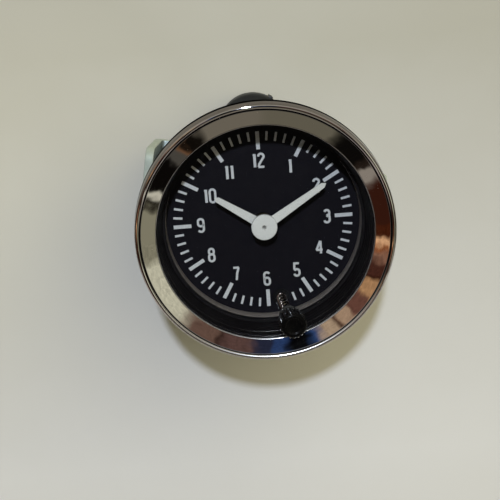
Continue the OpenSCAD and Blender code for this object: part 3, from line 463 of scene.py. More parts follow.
def worn_knob(base, sizes):
    """Glossy black moulding whose ribs catch small sharp lights.

    Painted glints make their outer ends near white on 6 o'clock's side, near the knob's top.
    """
    material, tree, place = new_material("glossy_moulded_knob")
    from_foot = add_node(tree, "ShaderNodeVectorMath", {"operation": "SUBTRACT", 0: place, 1: STEM * MM})
    along = add_node(
        tree, "ShaderNodeVectorMath", {"operation": "DOT_PRODUCT", 0: from_foot, 1: STEM_UP}, out="Value"
    )
    on_axis = add_node(tree, "ShaderNodeVectorMath", {"operation": "SCALE", 0: STEM_UP, "Scale": along})
    arm = add_node(tree, "ShaderNodeVectorMath", {"operation": "SUBTRACT", 0: from_foot, 1: on_axis})
    away = add_node(tree, "ShaderNodeVectorMath", {"operation": "LENGTH", 0: arm}, out="Value")
    north = add_node(tree, "ShaderNodeSeparateXYZ", {0: arm}, out="Y")
    clouds = add_node(tree, "ShaderNodeTexNoise", {"Vector": place, "Scale": scale_for(0.8), **CLOUDS})
    patches = add_node(tree, "ShaderNodeMapRange", {"Value": clouds, **MIDDLE})
    worn = add_node(tree, "ShaderNodeMapRange", {"Value": patches, "To Min": 0.15, "To Max": 1.0})
    tips, top = sizes["knob_radius"], sizes["knob_level"] + sizes["knob_height"] - STEM.z
    # Painted glints at the tips of the ribs, near their upper ends and towards 6 o'clock
    for measure, start, end in (
        (away, tips - 0.16, tips - 0.06),
        (along, top - 1.3, top - 0.8),
        (north, -0.9, -2.4),
    ):
        passing = {"Value": measure, "From Min": start * MM, "From Max": end * MM}
        zone = add_node(tree, "ShaderNodeMapRange", passing)
        worn = add_node(tree, "ShaderNodeMath", {"operation": "MULTIPLY", 0: worn, 1: zone})
    # Near white of the painted glints
    pale = linear("#E8E6EC")
    tone = add_node(tree, "ShaderNodeMix", {"data_type": "RGBA", 0: worn, 6: base, 7: pale}, out=2)
    gloss = add_node(tree, "ShaderNodeMapRange", {"Value": patches, "To Min": 0.18, "To Max": 0.32})
    grain = add_node(tree, "ShaderNodeTexNoise", {"Vector": place, "Scale": scale_for(0.1), **GRAIN})
    relief = add_node(tree, "ShaderNodeBump", {"Height": grain, "Strength": 0.7, "Distance": 4 * UM})
    shader = add_node(
        tree,
        "ShaderNodeBsdfPrincipled",
        {"Specular IOR Level": 0.12, "Base Color": tone, "Roughness": gloss, "Normal": relief},
    )
    add_node(tree, "ShaderNodeOutputMaterial", {"Surface": shader}, out=None)
    return material


def make_materials(colours, sizes):
    """All finishes of the clock, by name."""
    c = {name: tuple(getattr(colours, name)) for name in own_names(colours)}
    metal, dull, half_dull = {"Metallic": 1.0}, {"Specular IOR Level": 0.12}, {"Specular IOR Level": 0.3}
    translucent = {
        "Subsurface Weight": 0.25,
        "Subsurface Radius": (0.8 * MM, 0.7 * MM, 0.6 * MM),
        "Subsurface Scale": 1.0,
    }
    # How a grain is drawn out: round a bore, or along a tube, a blade or a sheet
    round_bore, round_ring = (1, 1, 8), (1, 1, 5)
    along_tube, along_blade, along_sheet = (1, 1, 0.1), (1, 1, 0.2), (1, 0.15, 1)

    def plain(name, base, worn, *rest, **more):
        """A surface whose colours aren't among those that a user changes."""
        return surface(name, linear(base), linear(worn), *rest, **more)

    return {
        "chrome": chromium_plate(c["chrome"], sizes["opening_radius"], BEZEL_HIGH.x),
        "glass": clear_glass("polished_clear_glass"),
        "bulb": clear_glass("blown_clear_glass"),
        "print": printed_ink("screen_printed_ink", c["print_white"], 0.8),
        "enamel": printed_ink("satin_white_enamel", c["hand"], 0.86),
        "knob": worn_knob(c["knob"], sizes),
        "zinc_strip": passivated_strip(c["zinc"]),
        # Matte paint on the dial plate: a soft black with a trace of violet
        "dial": surface(
            "matte_dial_paint", c["dial"], linear("#0D0B13"), (0.6, 0.78), 2.2, 0.16, 14, sockets=dull
        ),
        # Injection-moulded ring with the fine spark-eroded texture of its mould, drawn out round the bore
        "shroud": surface(
            "moulded_black_ring", c["shroud"], linear("#120E11"), (0.38, 0.6), 3.0, 0.12, 10, round_bore, dull
        ),
        # Frosted acrylic: pale when lit from behind, brown-grey when it only shows the dark round it
        "light_ring": surface(
            "frosted_acrylic_ring",
            c["light_ring"],
            linear("#958A84"),
            (0.3, 0.5),
            0.7,
            0.2,
            14,
            round_ring,
            translucent,
        ),
        # Compression-moulded phenolic: dark blue-black with a dusty, slightly uneven gloss
        "holder": surface(
            "moulded_phenolic", c["holder"], linear("#171A20"), (0.34, 0.55), 3.5, 0.25, 18, sockets=half_dull
        ),
        # Moulded nylon: black with a soft sheen
        "black": plain("moulded_black_nylon", "#101012", "#1B1B1D", (0.4, 0.6), 2.0, 0.18, 12),
        # The bush is black nylon too, worn matte by the spring
        "bush": plain("matte_black_nylon", "#070708", "#0B0A0C", (0.6, 0.8), 1.0, 0.15, 10, sockets=dull),
        # Soft rubber: almost no gloss
        "rubber": plain("moulded_rubber", "#0C0C0C", "#161616", (0.7, 0.85), 1.5, 0.12, 14),
        # Zinc plate on the drawn case: drawing marks run along the tube
        "zinc_case": plain(
            "passivated_zinc_on_drawn_steel",
            "#BCC1BE",
            "#A5ACA9",
            (0.26, 0.44),
            6.0,
            0.4,
            8,
            along_tube,
            metal,
        ),
        # Bright zinc on fasteners: pale, with greyer patches where it is handled
        "zinc_fastener": plain(
            "bright_zinc_on_turned_steel", "#C2C6C4", "#8F9694", (0.2, 0.4), 1.5, 0.15, 10, sockets=metal
        ),
        # The stem is blackened against glare, and only its rings catch light
        "stem_black": turned_metal("blackened_turned_steel", linear("#2B2826"), 0.12, STEM, (0.25, 0.4)),
        # Turned steel: grey with fine bright rings
        "stem_steel": turned_metal("turned_steel", linear("#A9A6A0"), 0.12, STEM),
        # The arbors are the same steel, a little darker from oil
        "arbor_steel": turned_metal("turned_arbor_steel", linear("#8E8E88"), 0.1, (0, 0)),
        # The arbor's end is the same steel, darkened by painted shade where it lies in the hub's hole
        "arbor_end": turned_metal("oiled_arbor_steel", linear("#2E2C2A"), 0.1, (0, 0), (0.4, 0.5)),
        # Spring wire, drawn and oiled: it mirrors the dark round it, with thin bright lines
        "spring": plain("oiled_drawn_wire", "#CFC1B8", "#6A5A54", (0.12, 0.2), 0.5, 0.1, 4, sockets=metal),
        # Rolled brass: a fine grain along the sheet and brown tarnish in patches
        "brass": plain("rolled_brass", "#C9A65A", "#9A7A3E", (0.25, 0.45), 2.5, 0.15, 6, along_sheet, metal),
        # Tinned brass blades: pale, with a yellow cast where the tin has worn
        "tinned": plain("tinned_brass", "#C9C4B2", "#B59B62", (0.28, 0.48), 2.0, 0.2, 8, along_blade, metal),
        # Tin-plated drawn cans: smooth and slightly grey
        "can": plain("tinned_drawn_can", "#B5B6B2", "#8F908C", (0.2, 0.36), 2.0, 0.2, 6, sockets=metal),
        # Acetal mouldings: milky white and slightly waxy
        "acetal": plain("white_acetal", "#D9D8CF", "#C9C6B8", (0.35, 0.5), 2.0, 0.2, 8),
        # Glass-fibre board under green solder mask: the weave shows as a faint relief
        "board": plain("solder_masked_board", "#1C4A30", "#153A26", (0.3, 0.42), 1.4, 0.5, 20),
        # Shrunk sleeve on the capacitor: dark blue and glossy
        "sleeve": plain("shrunk_pvc_sleeve", "#1B2750", "#141D3D", (0.2, 0.3), 1.5, 0.3, 8),
    }


def mesh_from(name, points, faces, weld=True, outward=True):
    """A mesh from points in millimetres, welded and with its faces turned outwards unless told otherwise."""
    grid = bmesh.new()
    verts = [grid.verts.new((x * MM, y * MM, z * MM)) for x, y, z in points]
    for face in faces:
        grid.faces.new([verts[i] for i in face])
    if weld:
        bmesh.ops.remove_doubles(grid, verts=grid.verts, dist=1e-7)
        bmesh.ops.dissolve_degenerate(grid, edges=grid.edges, dist=1e-8)
    if outward:
        bmesh.ops.recalc_face_normals(grid, faces=grid.faces)
    mesh = bpy.data.meshes.new(name)
    grid.to_mesh(mesh)
    grid.free()
    return mesh


def shade(mesh, sharp_degrees=32.0):
    """Smooth shading, broken only at edges sharper than the angle."""
    grid = bmesh.new()
    grid.from_mesh(mesh)
    limit = math.radians(sharp_degrees)
    for face in grid.faces:
        face.smooth = True
    for edge in grid.edges:
        edge.smooth = len(edge.link_faces) == 2 and edge.calc_face_angle(0.0) < limit
    grid.to_mesh(mesh)
    grid.free()
    return mesh


def merge(name, *meshes):
    """Several meshes as one."""
    grid = bmesh.new()
    for mesh in meshes:
        grid.from_mesh(mesh)
    joined = bpy.data.meshes.new(name)
    grid.to_mesh(joined)
    grid.free()
    return joined


def arc(x, y, r, start, end, steps=8):
    """Points on an arc, in degrees."""
    turns = [math.radians(start + (end - start) * i / steps) for i in range(steps + 1)]
    return [(x + r * math.cos(t), y + r * math.sin(t)) for t in turns]


def softened(outline, radius, steps=4):
    """A closed outline whose corners are rounded off by about the radius, except on the axis and where the
    outline bends too little to show a corner."""
    least_bend = math.radians(18)
    result = []
    for i, corner in enumerate(outline):
        here = Vector(corner)
        sides = [Vector(outline[i - 1]) - here, Vector(outline[(i + 1) % len(outline)]) - here]
        on_axis = abs(here.x) < 1e-6
        if on_axis or min(s.length for s in sides) < 1e-6 or math.pi - sides[0].angle(sides[1]) < least_bend:
            result.append(corner)
            continue
        first, last = (here + s.normalized() * min(radius, 0.42 * s.length) for s in sides)
        for k in range(steps + 1):
            t = k / steps
            point = first * (1 - t) ** 2 + here * 2 * t * (1 - t) + last * t**2
            result.append((point.x, point.y))
    return result


def lathe(name, outline, centre=(0.0, 0.0), steps=192, sharp=32.0):
    """Turns a closed outline of (radius, height) points round an upright axis."""
    count = len(outline)
    points = [
        (centre[0] + r * math.cos(TURN * s / steps), centre[1] + r * math.sin(TURN * s / steps), z)
        for s in range(steps)
        for r, z in outline
    ]
    faces = []
    for s in range(steps):
        here, there = s * count, (s + 1) % steps * count
        for i in range(count):
            j = (i + 1) % count
            if max(outline[i][0], outline[j][0]) > 1e-6:
                face = [here + i, there + i, there + j, here + j]
                # A point on the axis is shared by all steps
                for k in (i, j):
                    if outline[k][0] < 1e-6:
                        face.remove(there + k)
                faces.append(face)
    return shade(mesh_from(name, points, faces), sharp)


def loft(name, sections, sharp=32.0):
    """Joins closed sections of equal counts into a solid."""
    count = len(sections[0])
    faces = [list(range(count)), [count * (len(sections) - 1) + i for i in range(count)]]
    for s in range(len(sections) - 1):
        for i in range(count):
            j = (i + 1) % count
            faces.append([s * count + i, s * count + j, (s + 1) * count + j, (s + 1) * count + i])
    return shade(mesh_from(name, [p for section in sections for p in section], faces), sharp)


def inset(outline, distance):
    """Moves each corner of a counter-clockwise outline inwards."""
    result = []
    for i, corner in enumerate(outline):
        here = Vector(corner)
        before = (here - Vector(outline[i - 1])).normalized()
        after = (Vector(outline[(i + 1) % len(outline)]) - here).normalized()
        normals = Vector((-before.y, before.x)) + Vector((-after.y, after.x))
        step = normals.normalized() * distance / max(0.35, normals.length / 2)
        result.append((here.x + step.x, here.y + step.y))
    return result


def plate(name, outline, low, high, edge):
    """A flat plate with softened edges, from an outline in the dial's plane."""
    inner = inset(outline, edge)
    levels = [(inner, low), (outline, low + edge), (outline, high - edge), (inner, high)]
    return loft(name, [[(x, y, z) for x, y in ring] for ring, z in levels])


def leaned(mesh):
    """Leans a mesh that was built upright at the setting stem's foot."""
    lean = Vector((0, 0, 1)).rotation_difference(STEM_UP).to_matrix().to_4x4()
    mesh.transform(Matrix.Translation(STEM * MM) @ lean @ Matrix.Translation(-STEM * MM))
    return mesh


def welded_copy(node, soft_mm=0.0, sharp=30.0):
    """A CAD node's mesh, welded, with flat faces whole and its sharp edges broken by a small round."""
    source = frame["nodes"][node].data
    points = [v.co / MM for v in source.vertices]
    skin = mesh_from(node + "_skin", points, [list(p.vertices) for p in source.polygons], outward=False)
    grid = bmesh.new()
    grid.from_mesh(skin)
    bmesh.ops.dissolve_limit(grid, angle_limit=math.radians(0.5), verts=grid.verts, edges=grid.edges)
    if soft_mm:
        limit = math.radians(sharp)
        edges = [e for e in grid.edges if len(e.link_faces) == 2 and e.calc_face_angle(0.0) > limit]
        bmesh.ops.bevel(
            grid, geom=edges, offset=soft_mm * MM, segments=2, profile=0.5, affect="EDGES", clamp_overlap=True
        )
    grid.to_mesh(skin)
    grid.free()
    return shade(skin, sharp)


_shared = {}


def finish_of(name):
    """A finish of the clock; all are made when the first is asked for."""
    if "materials" not in _shared:
        _shared["materials"] = make_materials(bpy.context.scene.clock_colours, sizes_mm())
    return _shared["materials"][name]


def piece(name, mesh, finish, body, slot, *replaced):
    """Links a finished mesh as a piece of the clock."""
    mesh.name = name
    mesh.materials.clear()
    mesh.materials.append(finish_of(finish))
    made = bpy.data.objects.new(name, mesh)
    bpy.context.scene.collection.objects.link(made)
    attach(made, body)
    if replaced:
        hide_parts(*replaced)
    return made


def finish_node(node, finish):
    """Gives a CAD node that stays its finish."""
    target = frame["nodes"][node]
    target.data.materials.clear()
    target.data.materials.append(finish_of(finish))


def new_tree(name, inputs):
    """A geometry tree with its named inputs; returns the tree, and its input node to take them from."""
    tree = bpy.data.node_groups.new(name, "GeometryNodeTree")
    tree.interface.new_socket("Geometry", in_out="OUTPUT", socket_type="NodeSocketGeometry")
    for label, kind, default in (("Geometry", "NodeSocketGeometry", None), *inputs):
        socket = tree.interface.new_socket(label, in_out="INPUT", socket_type=kind)
        if default is not None:
            socket.default_value = default
    return tree, add_node(tree, "NodeGroupInput", out=None).outputs


def ring_tree():
    """Repeats the mesh at even steps round an upright axis, leaving out copies too near a given point."""
    tree, given = new_tree(
        "even_ring",
        [
            ("Count", "NodeSocketInt", 60),
            ("Centre", "NodeSocketVector", (0, 0, 0)),
            ("Mid Radius", "NodeSocketFloat", 0.0),
            ("Clear Of", "NodeSocketVector", (0, 0, 0)),
            ("Clear Radius", "NodeSocketFloat", 0.0),
            ("Gap Every", "NodeSocketInt", 5),
            ("Whole Ring", "NodeSocketBool", True),
            ("Material", "NodeSocketMaterial", None),
        ],
    )
    index = add_node(tree, "GeometryNodeInputIndex")
    step = add_node(tree, "ShaderNodeMath", {"operation": "DIVIDE", 0: TURN, 1: given["Count"]})
    turn = add_node(tree, "ShaderNodeMath", {"operation": "MULTIPLY", 0: index, 1: step})
    cosine = add_node(tree, "ShaderNodeMath", {"operation": "COSINE", 0: turn})
    sine = add_node(tree, "ShaderNodeMath", {"operation": "SINE", 0: turn})
    arm = add_node(tree, "ShaderNodeCombineXYZ", {"X": cosine, "Y": sine})
    middle = add_node(
        tree, "ShaderNodeVectorMath", {"operation": "SCALE", 0: arm, "Scale": given["Mid Radius"]}
    )
    apart = add_node(
        tree, "ShaderNodeVectorMath", {"operation": "DISTANCE", 0: middle, 1: given["Clear Of"]}, out="Value"
    )
    clear = {"data_type": "FLOAT", "operation": "GREATER_EQUAL", 0: apart, 1: given["Clear Radius"]}
    far = add_node(tree, "FunctionNodeCompare", clear)
    rest = add_node(tree, "ShaderNodeMath", {"operation": "MODULO", 0: index, 1: given["Gap Every"]})
    positive = {"data_type": "FLOAT", "operation": "GREATER_THAN", 0: rest, 1: 0.5}
    between = add_node(tree, "FunctionNodeCompare", positive)
    either = {"operation": "OR", 0: between, 1: given["Whole Ring"]}
    chosen = add_node(tree, "FunctionNodeBooleanMath", either)
    kept = add_node(tree, "FunctionNodeBooleanMath", {"operation": "AND", 0: far, 1: chosen})
    spots = add_node(tree, "GeometryNodePoints", {"Count": given["Count"], "Position": given["Centre"]})
    facing = add_node(tree, "ShaderNodeCombineXYZ", {"Z": turn})
    copies = add_node(
        tree,
        "GeometryNodeInstanceOnPoints",
        {"Points": spots, "Selection": kept, "Instance": given["Geometry"], "Rotation": facing},
    )
    real = add_node(tree, "GeometryNodeRealizeInstances", {0: copies})
    done = add_node(tree, "GeometryNodeSetMaterial", {"Geometry": real, "Material": given["Material"]})
    add_node(tree, "NodeGroupOutput", {0: done}, out=None)
    return tree


def coil_tree():
    """A compression spring with its end turns laid flat, swept along a helix."""
    tree, given = new_tree(
        "coil_spring",
        [
            ("Turns", "NodeSocketFloat", 6.0),
            ("Radius", "NodeSocketFloat", 0.001),
            ("Wire", "NodeSocketFloat", 0.0003),
            ("Rise", "NodeSocketFloat", 0.01),
            ("Base", "NodeSocketVector", (0, 0, 0)),
            ("Material", "NodeSocketMaterial", None),
        ],
    )
    samples, sides = 240, 12
    line = add_node(tree, "GeometryNodeMeshLine", {"mode": "OFFSET", "Count": samples + 1})
    index = add_node(tree, "GeometryNodeInputIndex")
    share = add_node(tree, "ShaderNodeMath", {"operation": "DIVIDE", 0: index, 1: float(samples)})
    full = add_node(tree, "ShaderNodeMath", {"operation": "MULTIPLY", 0: given["Turns"], 1: TURN})
    turn = add_node(tree, "ShaderNodeMath", {"operation": "MULTIPLY", 0: share, 1: full})
    cosine = add_node(tree, "ShaderNodeMath", {"operation": "COSINE", 0: turn})
    sine = add_node(tree, "ShaderNodeMath", {"operation": "SINE", 0: turn})
    out_x = add_node(tree, "ShaderNodeMath", {"operation": "MULTIPLY", 0: cosine, 1: given["Radius"]})
    out_y = add_node(tree, "ShaderNodeMath", {"operation": "MULTIPLY", 0: sine, 1: given["Radius"]})
    # The first and last stretch of the wire climb nothing
    flat_share = 0.12
    climb = {"Value": share, "From Min": flat_share, "From Max": 1 - flat_share, "To Max": given["Rise"]}
    climbed = add_node(tree, "ShaderNodeMapRange", climb)
    point = add_node(tree, "ShaderNodeCombineXYZ", {"X": out_x, "Y": out_y, "Z": climbed})
    placed = add_node(tree, "ShaderNodeVectorMath", {"operation": "ADD", 0: point, 1: given["Base"]})
    helix = add_node(tree, "GeometryNodeSetPosition", {"Geometry": line, "Position": placed})
    curve = add_node(tree, "GeometryNodeMeshToCurve", {0: helix})
    radius = add_node(tree, "ShaderNodeMath", {"operation": "MULTIPLY", 0: given["Wire"], 1: 0.5})
    section = add_node(tree, "GeometryNodeCurvePrimitiveCircle", {"Resolution": sides, "Radius": radius})
    sweep = {"Fill Caps": True, "Curve": curve, "Profile Curve": section}
    swept = add_node(tree, "GeometryNodeCurveToMesh", sweep)
    real = add_node(tree, "GeometryNodeRealizeInstances", {0: swept})
    done = add_node(tree, "GeometryNodeSetMaterial", {"Geometry": real, "Material": given["Material"]})
    add_node(tree, "NodeGroupOutput", {0: done}, out=None)
    return tree


def tree_of(name):
    """A geometry tree, made when it is first asked for."""
    if name not in _shared:
        _shared[name] = {"ring": ring_tree, "coil": coil_tree}[name]()
    return _shared[name]


def grown(tree, mesh, **values):
    """Runs a geometry tree on a mesh and returns the result as a plain mesh."""
    work = bpy.data.objects.new("work", mesh)
    bpy.context.scene.collection.objects.link(work)
    modifier = work.modifiers.new("grow", "NODES")
    modifier.node_group = tree
    for item in tree.interface.items_tree:
        key = item.name.replace(" ", "_").lower()
        if item.in_out == "INPUT" and key in values:
            modifier[item.identifier] = values[key]
    graph = bpy.context.evaluated_depsgraph_get()
    result = bpy.data.meshes.new_from_object(work.evaluated_get(graph))
    work.modifiers.remove(modifier)
    bpy.data.objects.remove(work)
    return shade(result)


# What polished metal mirrors of the room: from and to, in degrees round the clock from 3 o'clock over 12, and
# a colour. The patches were set one by one until the bezel's ring came close to the photograph's.
ROOM = (
    # 3 to 1 o'clock: dark, with one pale edge
    (0, 23, "#3E1E14"),
    (27, 31, "#A0968A"),
    (34, 36, "#2A211B"),
    (39, 51, "#100E0C"),
    # 1 to 11 o'clock: even grey
    (57, 86, "#746E5E"),
    (94, 121, "#7E7668"),
    # 11 to 10 o'clock: black, with a brown and grey band
    (127, 132, "#14100C"),
    (134, 134, "#7A583E"),
    (136, 141, "#55514A"),
    (143, 156, "#0E0B09"),
    # 10 to 8 o'clock: pale, with a dark line
    (158, 160, "#DDD8C4"),
    (162, 163, "#2C281F"),
    (166, 180, "#9A957E"),
    (186, 186, "#9A957E"),
    (191, 216, "#DEDAC0"),
    # 7 to 5 o'clock: brown, then blue and black
    (228, 243, "#72584C"),
    (245, 245, "#3C2A24"),
    (248, 257, "#664C46"),
    (259, 266, "#2A2E42"),
    (268, 275, "#2E4470"),
    (278, 287, "#08080A"),
    (290, 290, "#365080"),
    # 5 to 3 o'clock: tan and brown, with dark lines and a bright edge
    (294, 301, "#BEA488"),
    (303, 303, "#4A2E22"),
    (305, 310, "#BE9E82"),
    (312, 318, "#724C40"),
    (320, 326, "#C8986C"),
    (330, 330, "#3A1C12"),
    (333, 341, "#502E24"),
    (344, 344, "#9A705A"),
    (349, 349, "#9A5A34"),
    (351, 353, "#F4BC8C"),
    (356, 356, "#4A2212"),
)


class CLOCK_OT_stage(bpy.types.Operator):
    """Table top, room light and the camera"""

    bl_idname = "clock.stage"
    bl_label = "Stage"

    def execute(self, context):
        for leftover in list(context.scene.objects):
            if leftover.type in ("CAMERA", "LIGHT") or leftover.name == "Cube":
                bpy.data.objects.remove(leftover)
        self.table(context)
        self.room(context)
        self.key_light(context)
        self.camera(context)
        context.scene.view_settings.view_transform = "Standard"
        return {"FINISHED"}

    def table(self, context):
        half = 1500.0
        corners = [(x * half, y * half, FLOOR_Z) for x, y in ((-1, -1), (1, -1), (1, 1), (-1, 1))]
        mesh = mesh_from("table_top", corners, [[0, 1, 2, 3]], outward=False)
        mesh.materials.append(self.table_paint(tuple(context.scene.clock_colours.floor)))
        floor = bpy.data.objects.new("table_top", mesh)
        context.scene.collection.objects.link(floor)

    def table_paint(self, base):
        """Matte paint with faint clouds, with painted shade that darkens it towards 12 o'clock and a painted
        pool of warm light on 9 o'clock's side."""
        material, tree, place = new_material("painted_table_top")
        north = add_node(tree, "ShaderNodeSeparateXYZ", {0: place}, out="Y")
        across_table = {"Value": north, "From Min": -85 * MM, "From Max": 45 * MM}
        share = add_node(tree, "ShaderNodeMapRange", across_table)
        soft = add_node(tree, "ShaderNodeTexNoise", {"Vector": place, "Scale": scale_for(30.0), **CLOUDS})
        clouds = add_node(tree, "ShaderNodeMapRange", {"Value": soft, **MIDDLE})
        shift = {"operation": "MULTIPLY_ADD", "use_clamp": True, 0: clouds, 1: 0.06, 2: share}
        darker = add_node(tree, "ShaderNodeMath", shift)
        # Painted shade darkens the table towards 12 o'clock; a painted pool of warm light lies on 9 o'clock's
        # side
        far_shade, warm_light = linear("#AEACA4"), linear("#E2DFD2")
        tone = add_node(tree, "ShaderNodeMix", {"data_type": "RGBA", 0: darker, 6: base, 7: far_shade}, out=2)
        light_pool_centre = (-75 * MM, -5 * MM, FLOOR_Z * MM)
        away = add_node(
            tree, "ShaderNodeVectorMath", {"operation": "DISTANCE", 0: place, 1: light_pool_centre}, out="Value"
        )
        inside = {"Value": away, "From Min": 70 * MM, "From Max": 10 * MM, "To Max": 0.3}
        warm = add_node(tree, "ShaderNodeMapRange", inside)
        tone = add_node(tree, "ShaderNodeMix", {"data_type": "RGBA", 0: warm, 6: tone, 7: warm_light}, out=2)
        gloss = add_node(tree, "ShaderNodeMapRange", {"Value": clouds, "To Min": 0.55, "To Max": 0.7})
        grain = add_node(tree, "ShaderNodeTexNoise", {"Vector": place, "Scale": scale_for(1.5), **GRAIN})
        relief = add_node(tree, "ShaderNodeBump", {"Height": grain, "Strength": 0.7, "Distance": 20 * UM})
        shader = add_node(
            tree, "ShaderNodeBsdfPrincipled", {"Base Color": tone, "Roughness": gloss, "Normal": relief}
        )
        add_node(tree, "ShaderNodeOutputMaterial", {"Surface": shader}, out=None)
        return material

    def surroundings(self, tree, source, first, last, stops):
        """Colours that follow each other as the source goes from its first to its last value."""
        share = add_node(tree, "ShaderNodeMapRange", {"Value": source, "From Min": first, "From Max": last})
        ramp = add_node(tree, "ShaderNodeValToRGB", {0: share}, out=None)
        made = ramp.color_ramp.elements
        for i, (place, code) in enumerate(stops):
            stop = made[i] if i < 2 else made.new(place)
            stop.position = place
            stop.color = (*linear(code), 1.0)
        return ramp.outputs[0]

    def half_round(self, tree, turn, start):
        """The colours round one half of the room, from a direction in degrees."""
        stops = [
            (min(1.0, (degrees - start) / 180), code)
            for begin, end, code in ROOM
            for degrees in sorted({begin, end})
            if start <= begin < start + 180
        ]
        return self.surroundings(tree, turn, math.radians(start), math.radians(start + 180), stops)

    def room(self, context):
        """Even light for dull surfaces, and the room's colours for mirrors only.

        The bezel's slope mirrors a ring of directions. Inside it lies the dark round the camera; outside it
        lie the lower walls, which only the rolled edge picks up.
        """
        world = bpy.data.worlds.new("room")
        context.scene.world = world
        world.use_nodes = True
        tree = world.node_tree
        tree.nodes.clear()
        way = add_node(tree, "ShaderNodeTexCoord", out="Generated")
        east = add_node(tree, "ShaderNodeSeparateXYZ", {0: way}, out="X")
        level_north = add_node(tree, "ShaderNodeSeparateXYZ", {0: way}, out="Y")
        # The camera stands off the axis, so the ring's middle lies towards 6 o'clock
        north = add_node(tree, "ShaderNodeMath", {"operation": "ADD", 0: level_north, 1: 0.25})
        turn = add_node(tree, "ShaderNodeMath", {"operation": "ARCTAN2", 0: north, 1: east})
        bend = add_node(tree, "ShaderNodeTexNoise", {"Vector": way, "Scale": 3.5, "Detail": 2.0})
        wander = add_node(tree, "ShaderNodeMath", {"operation": "MULTIPLY_ADD", 0: bend, 1: 0.3, 2: -0.15})
        bent = add_node(tree, "ShaderNodeMath", {"operation": "ADD", 0: turn, 1: wander})
        # The mirrored side of the room lies opposite, so half a turn is added
        opposite = add_node(tree, "ShaderNodeMath", {"operation": "ADD", 0: bent, 1: math.pi})
        first, second = self.half_round(tree, opposite, 0), self.half_round(tree, opposite, 180)
        later = add_node(tree, "ShaderNodeMath", {"operation": "GREATER_THAN", 0: opposite, 1: math.pi})
        clean = add_node(tree, "ShaderNodeMix", {"data_type": "RGBA", 0: later, 6: first, 7: second}, out=2)
        # Fine unevenness in the second half, which lies on 6 o'clock's side
        grain = add_node(
            tree, "ShaderNodeTexNoise", {"Vector": way, "Scale": 55.0, "Detail": 3.0, "Roughness": 0.65}
        )
        contrast = {"Value": grain, **MIDDLE, "To Min": 0.72, "To Max": 1.28}
        uneven = add_node(tree, "ShaderNodeMapRange", contrast)
        mottle = add_node(tree, "ShaderNodeMix", {"data_type": "FLOAT", 0: later, 2: 1.0, 3: uneven})
        ring = add_node(tree, "ShaderNodeVectorMath", {"operation": "SCALE", 0: clean, "Scale": mottle})

        flat = add_node(tree, "ShaderNodeCombineXYZ", {"X": east, "Y": north})
        out = add_node(tree, "ShaderNodeVectorMath", {"operation": "LENGTH", 0: flat}, out="Value")
        near = add_node(tree, "ShaderNodeMapRange", {"Value": out, "From Min": 0.22, "From Max": 0.3})
        far = add_node(tree, "ShaderNodeMapRange", {"Value": out, "From Min": 0.66, "From Max": 0.8})
        overhead = linear("#1E1C1A")
        inner = add_node(tree, "ShaderNodeMix", {"data_type": "RGBA", 0: near, 6: overhead, 7: ring}, out=2)
        # Low down, pale on 6 o'clock's side, dark in the middle and grey on 12 o'clock's side
        low_down = ((0.34, "#CABEB6"), (0.46, "#241D19"), (0.64, "#241D19"), (0.9, "#A8A296"))
        walls = self.surroundings(tree, north, -1.0, 1.0, low_down)
        colours = add_node(tree, "ShaderNodeMix", {"data_type": "RGBA", 0: far, 6: inner, 7: walls}, out=2)
        mirrored = add_node(tree, "ShaderNodeBackground", {"Color": colours, "Strength": 1.0})

        # Dull surfaces get a warm light, stronger from low down between 1 and 2 o'clock
        window_way = (0.7, 0.64, 0.3)
        window = add_node(
            tree, "ShaderNodeVectorMath", {"operation": "DOT_PRODUCT", 0: way, 1: window_way}, out="Value"
        )
        fall = {"Value": window, "From Min": 0.45, "From Max": 0.95, "To Min": 0.11, "To Max": 2.9}
        strength = add_node(tree, "ShaderNodeMapRange", fall)
        lit = add_node(tree, "ShaderNodeBackground", {"Color": linear("#F0E6BA"), "Strength": strength})
        seen = add_node(tree, "ShaderNodeBackground", {"Color": linear("#BEBCB2"), "Strength": 1.0})
        ray = add_node(tree, "ShaderNodeLightPath", out=None).outputs
        by_glow = add_node(tree, "ShaderNodeMixShader", {0: ray["Is Glossy Ray"], 1: lit, 2: mirrored})
        whole = add_node(tree, "ShaderNodeMixShader", {0: ray["Is Camera Ray"], 1: by_glow, 2: seen})
        add_node(tree, "ShaderNodeOutputWorld", {0: whole}, out=None)

    def key_light(self, context):
        """A small key lamp on 12 o'clock's side, whose edge of shadow falls on the dial."""
        light = bpy.data.lights.new("key_lamp", "AREA")
        light.shape = "DISK"
        light.size = 0.02
        light.energy = 1.47
        light.color = linear("#E9F2FF")
        lamp = bpy.data.objects.new("key_lamp", light)
        context.scene.collection.objects.link(lamp)
        lamp.location = (-0.015, 0.187, 0.401)
        lamp.rotation_euler = Vector(lamp.location).to_track_quat("Z", "Y").to_euler()

    def camera(self, context):
        """Looks down at the dial from 22 cm, 14.5 degrees off its axis towards 12 o'clock."""
        tilt, lean, roll = (math.radians(angle) for angle in (14.45, 0.52, 4.32))
        leant = Matrix.Rotation(lean, 3, "Y") @ Matrix.Rotation(tilt, 3, "X")
        to_camera = Matrix.Rotation(roll, 3, "Z") @ leant
        # Where the dial's centre lies for the camera, and how deep the dial lies under the panel's face
        dial_seen = Vector((3.174, 7.084, -217.96))
        dial_deep = Vector((0, 0, 9.6))
        place = to_camera.transposed() @ -dial_seen - dial_deep
        picture_px, focal_px = 500, 900
        data = bpy.data.cameras.new("camera")
        data.sensor_width = 36.0
        data.lens = data.sensor_width * focal_px / picture_px
        data.clip_start = 0.01
        camera = bpy.data.objects.new("camera", data)
        context.scene.collection.objects.link(camera)
        camera.matrix_world = Matrix.Translation(place * MM) @ to_camera.transposed().to_4x4()
        context.scene.camera = camera


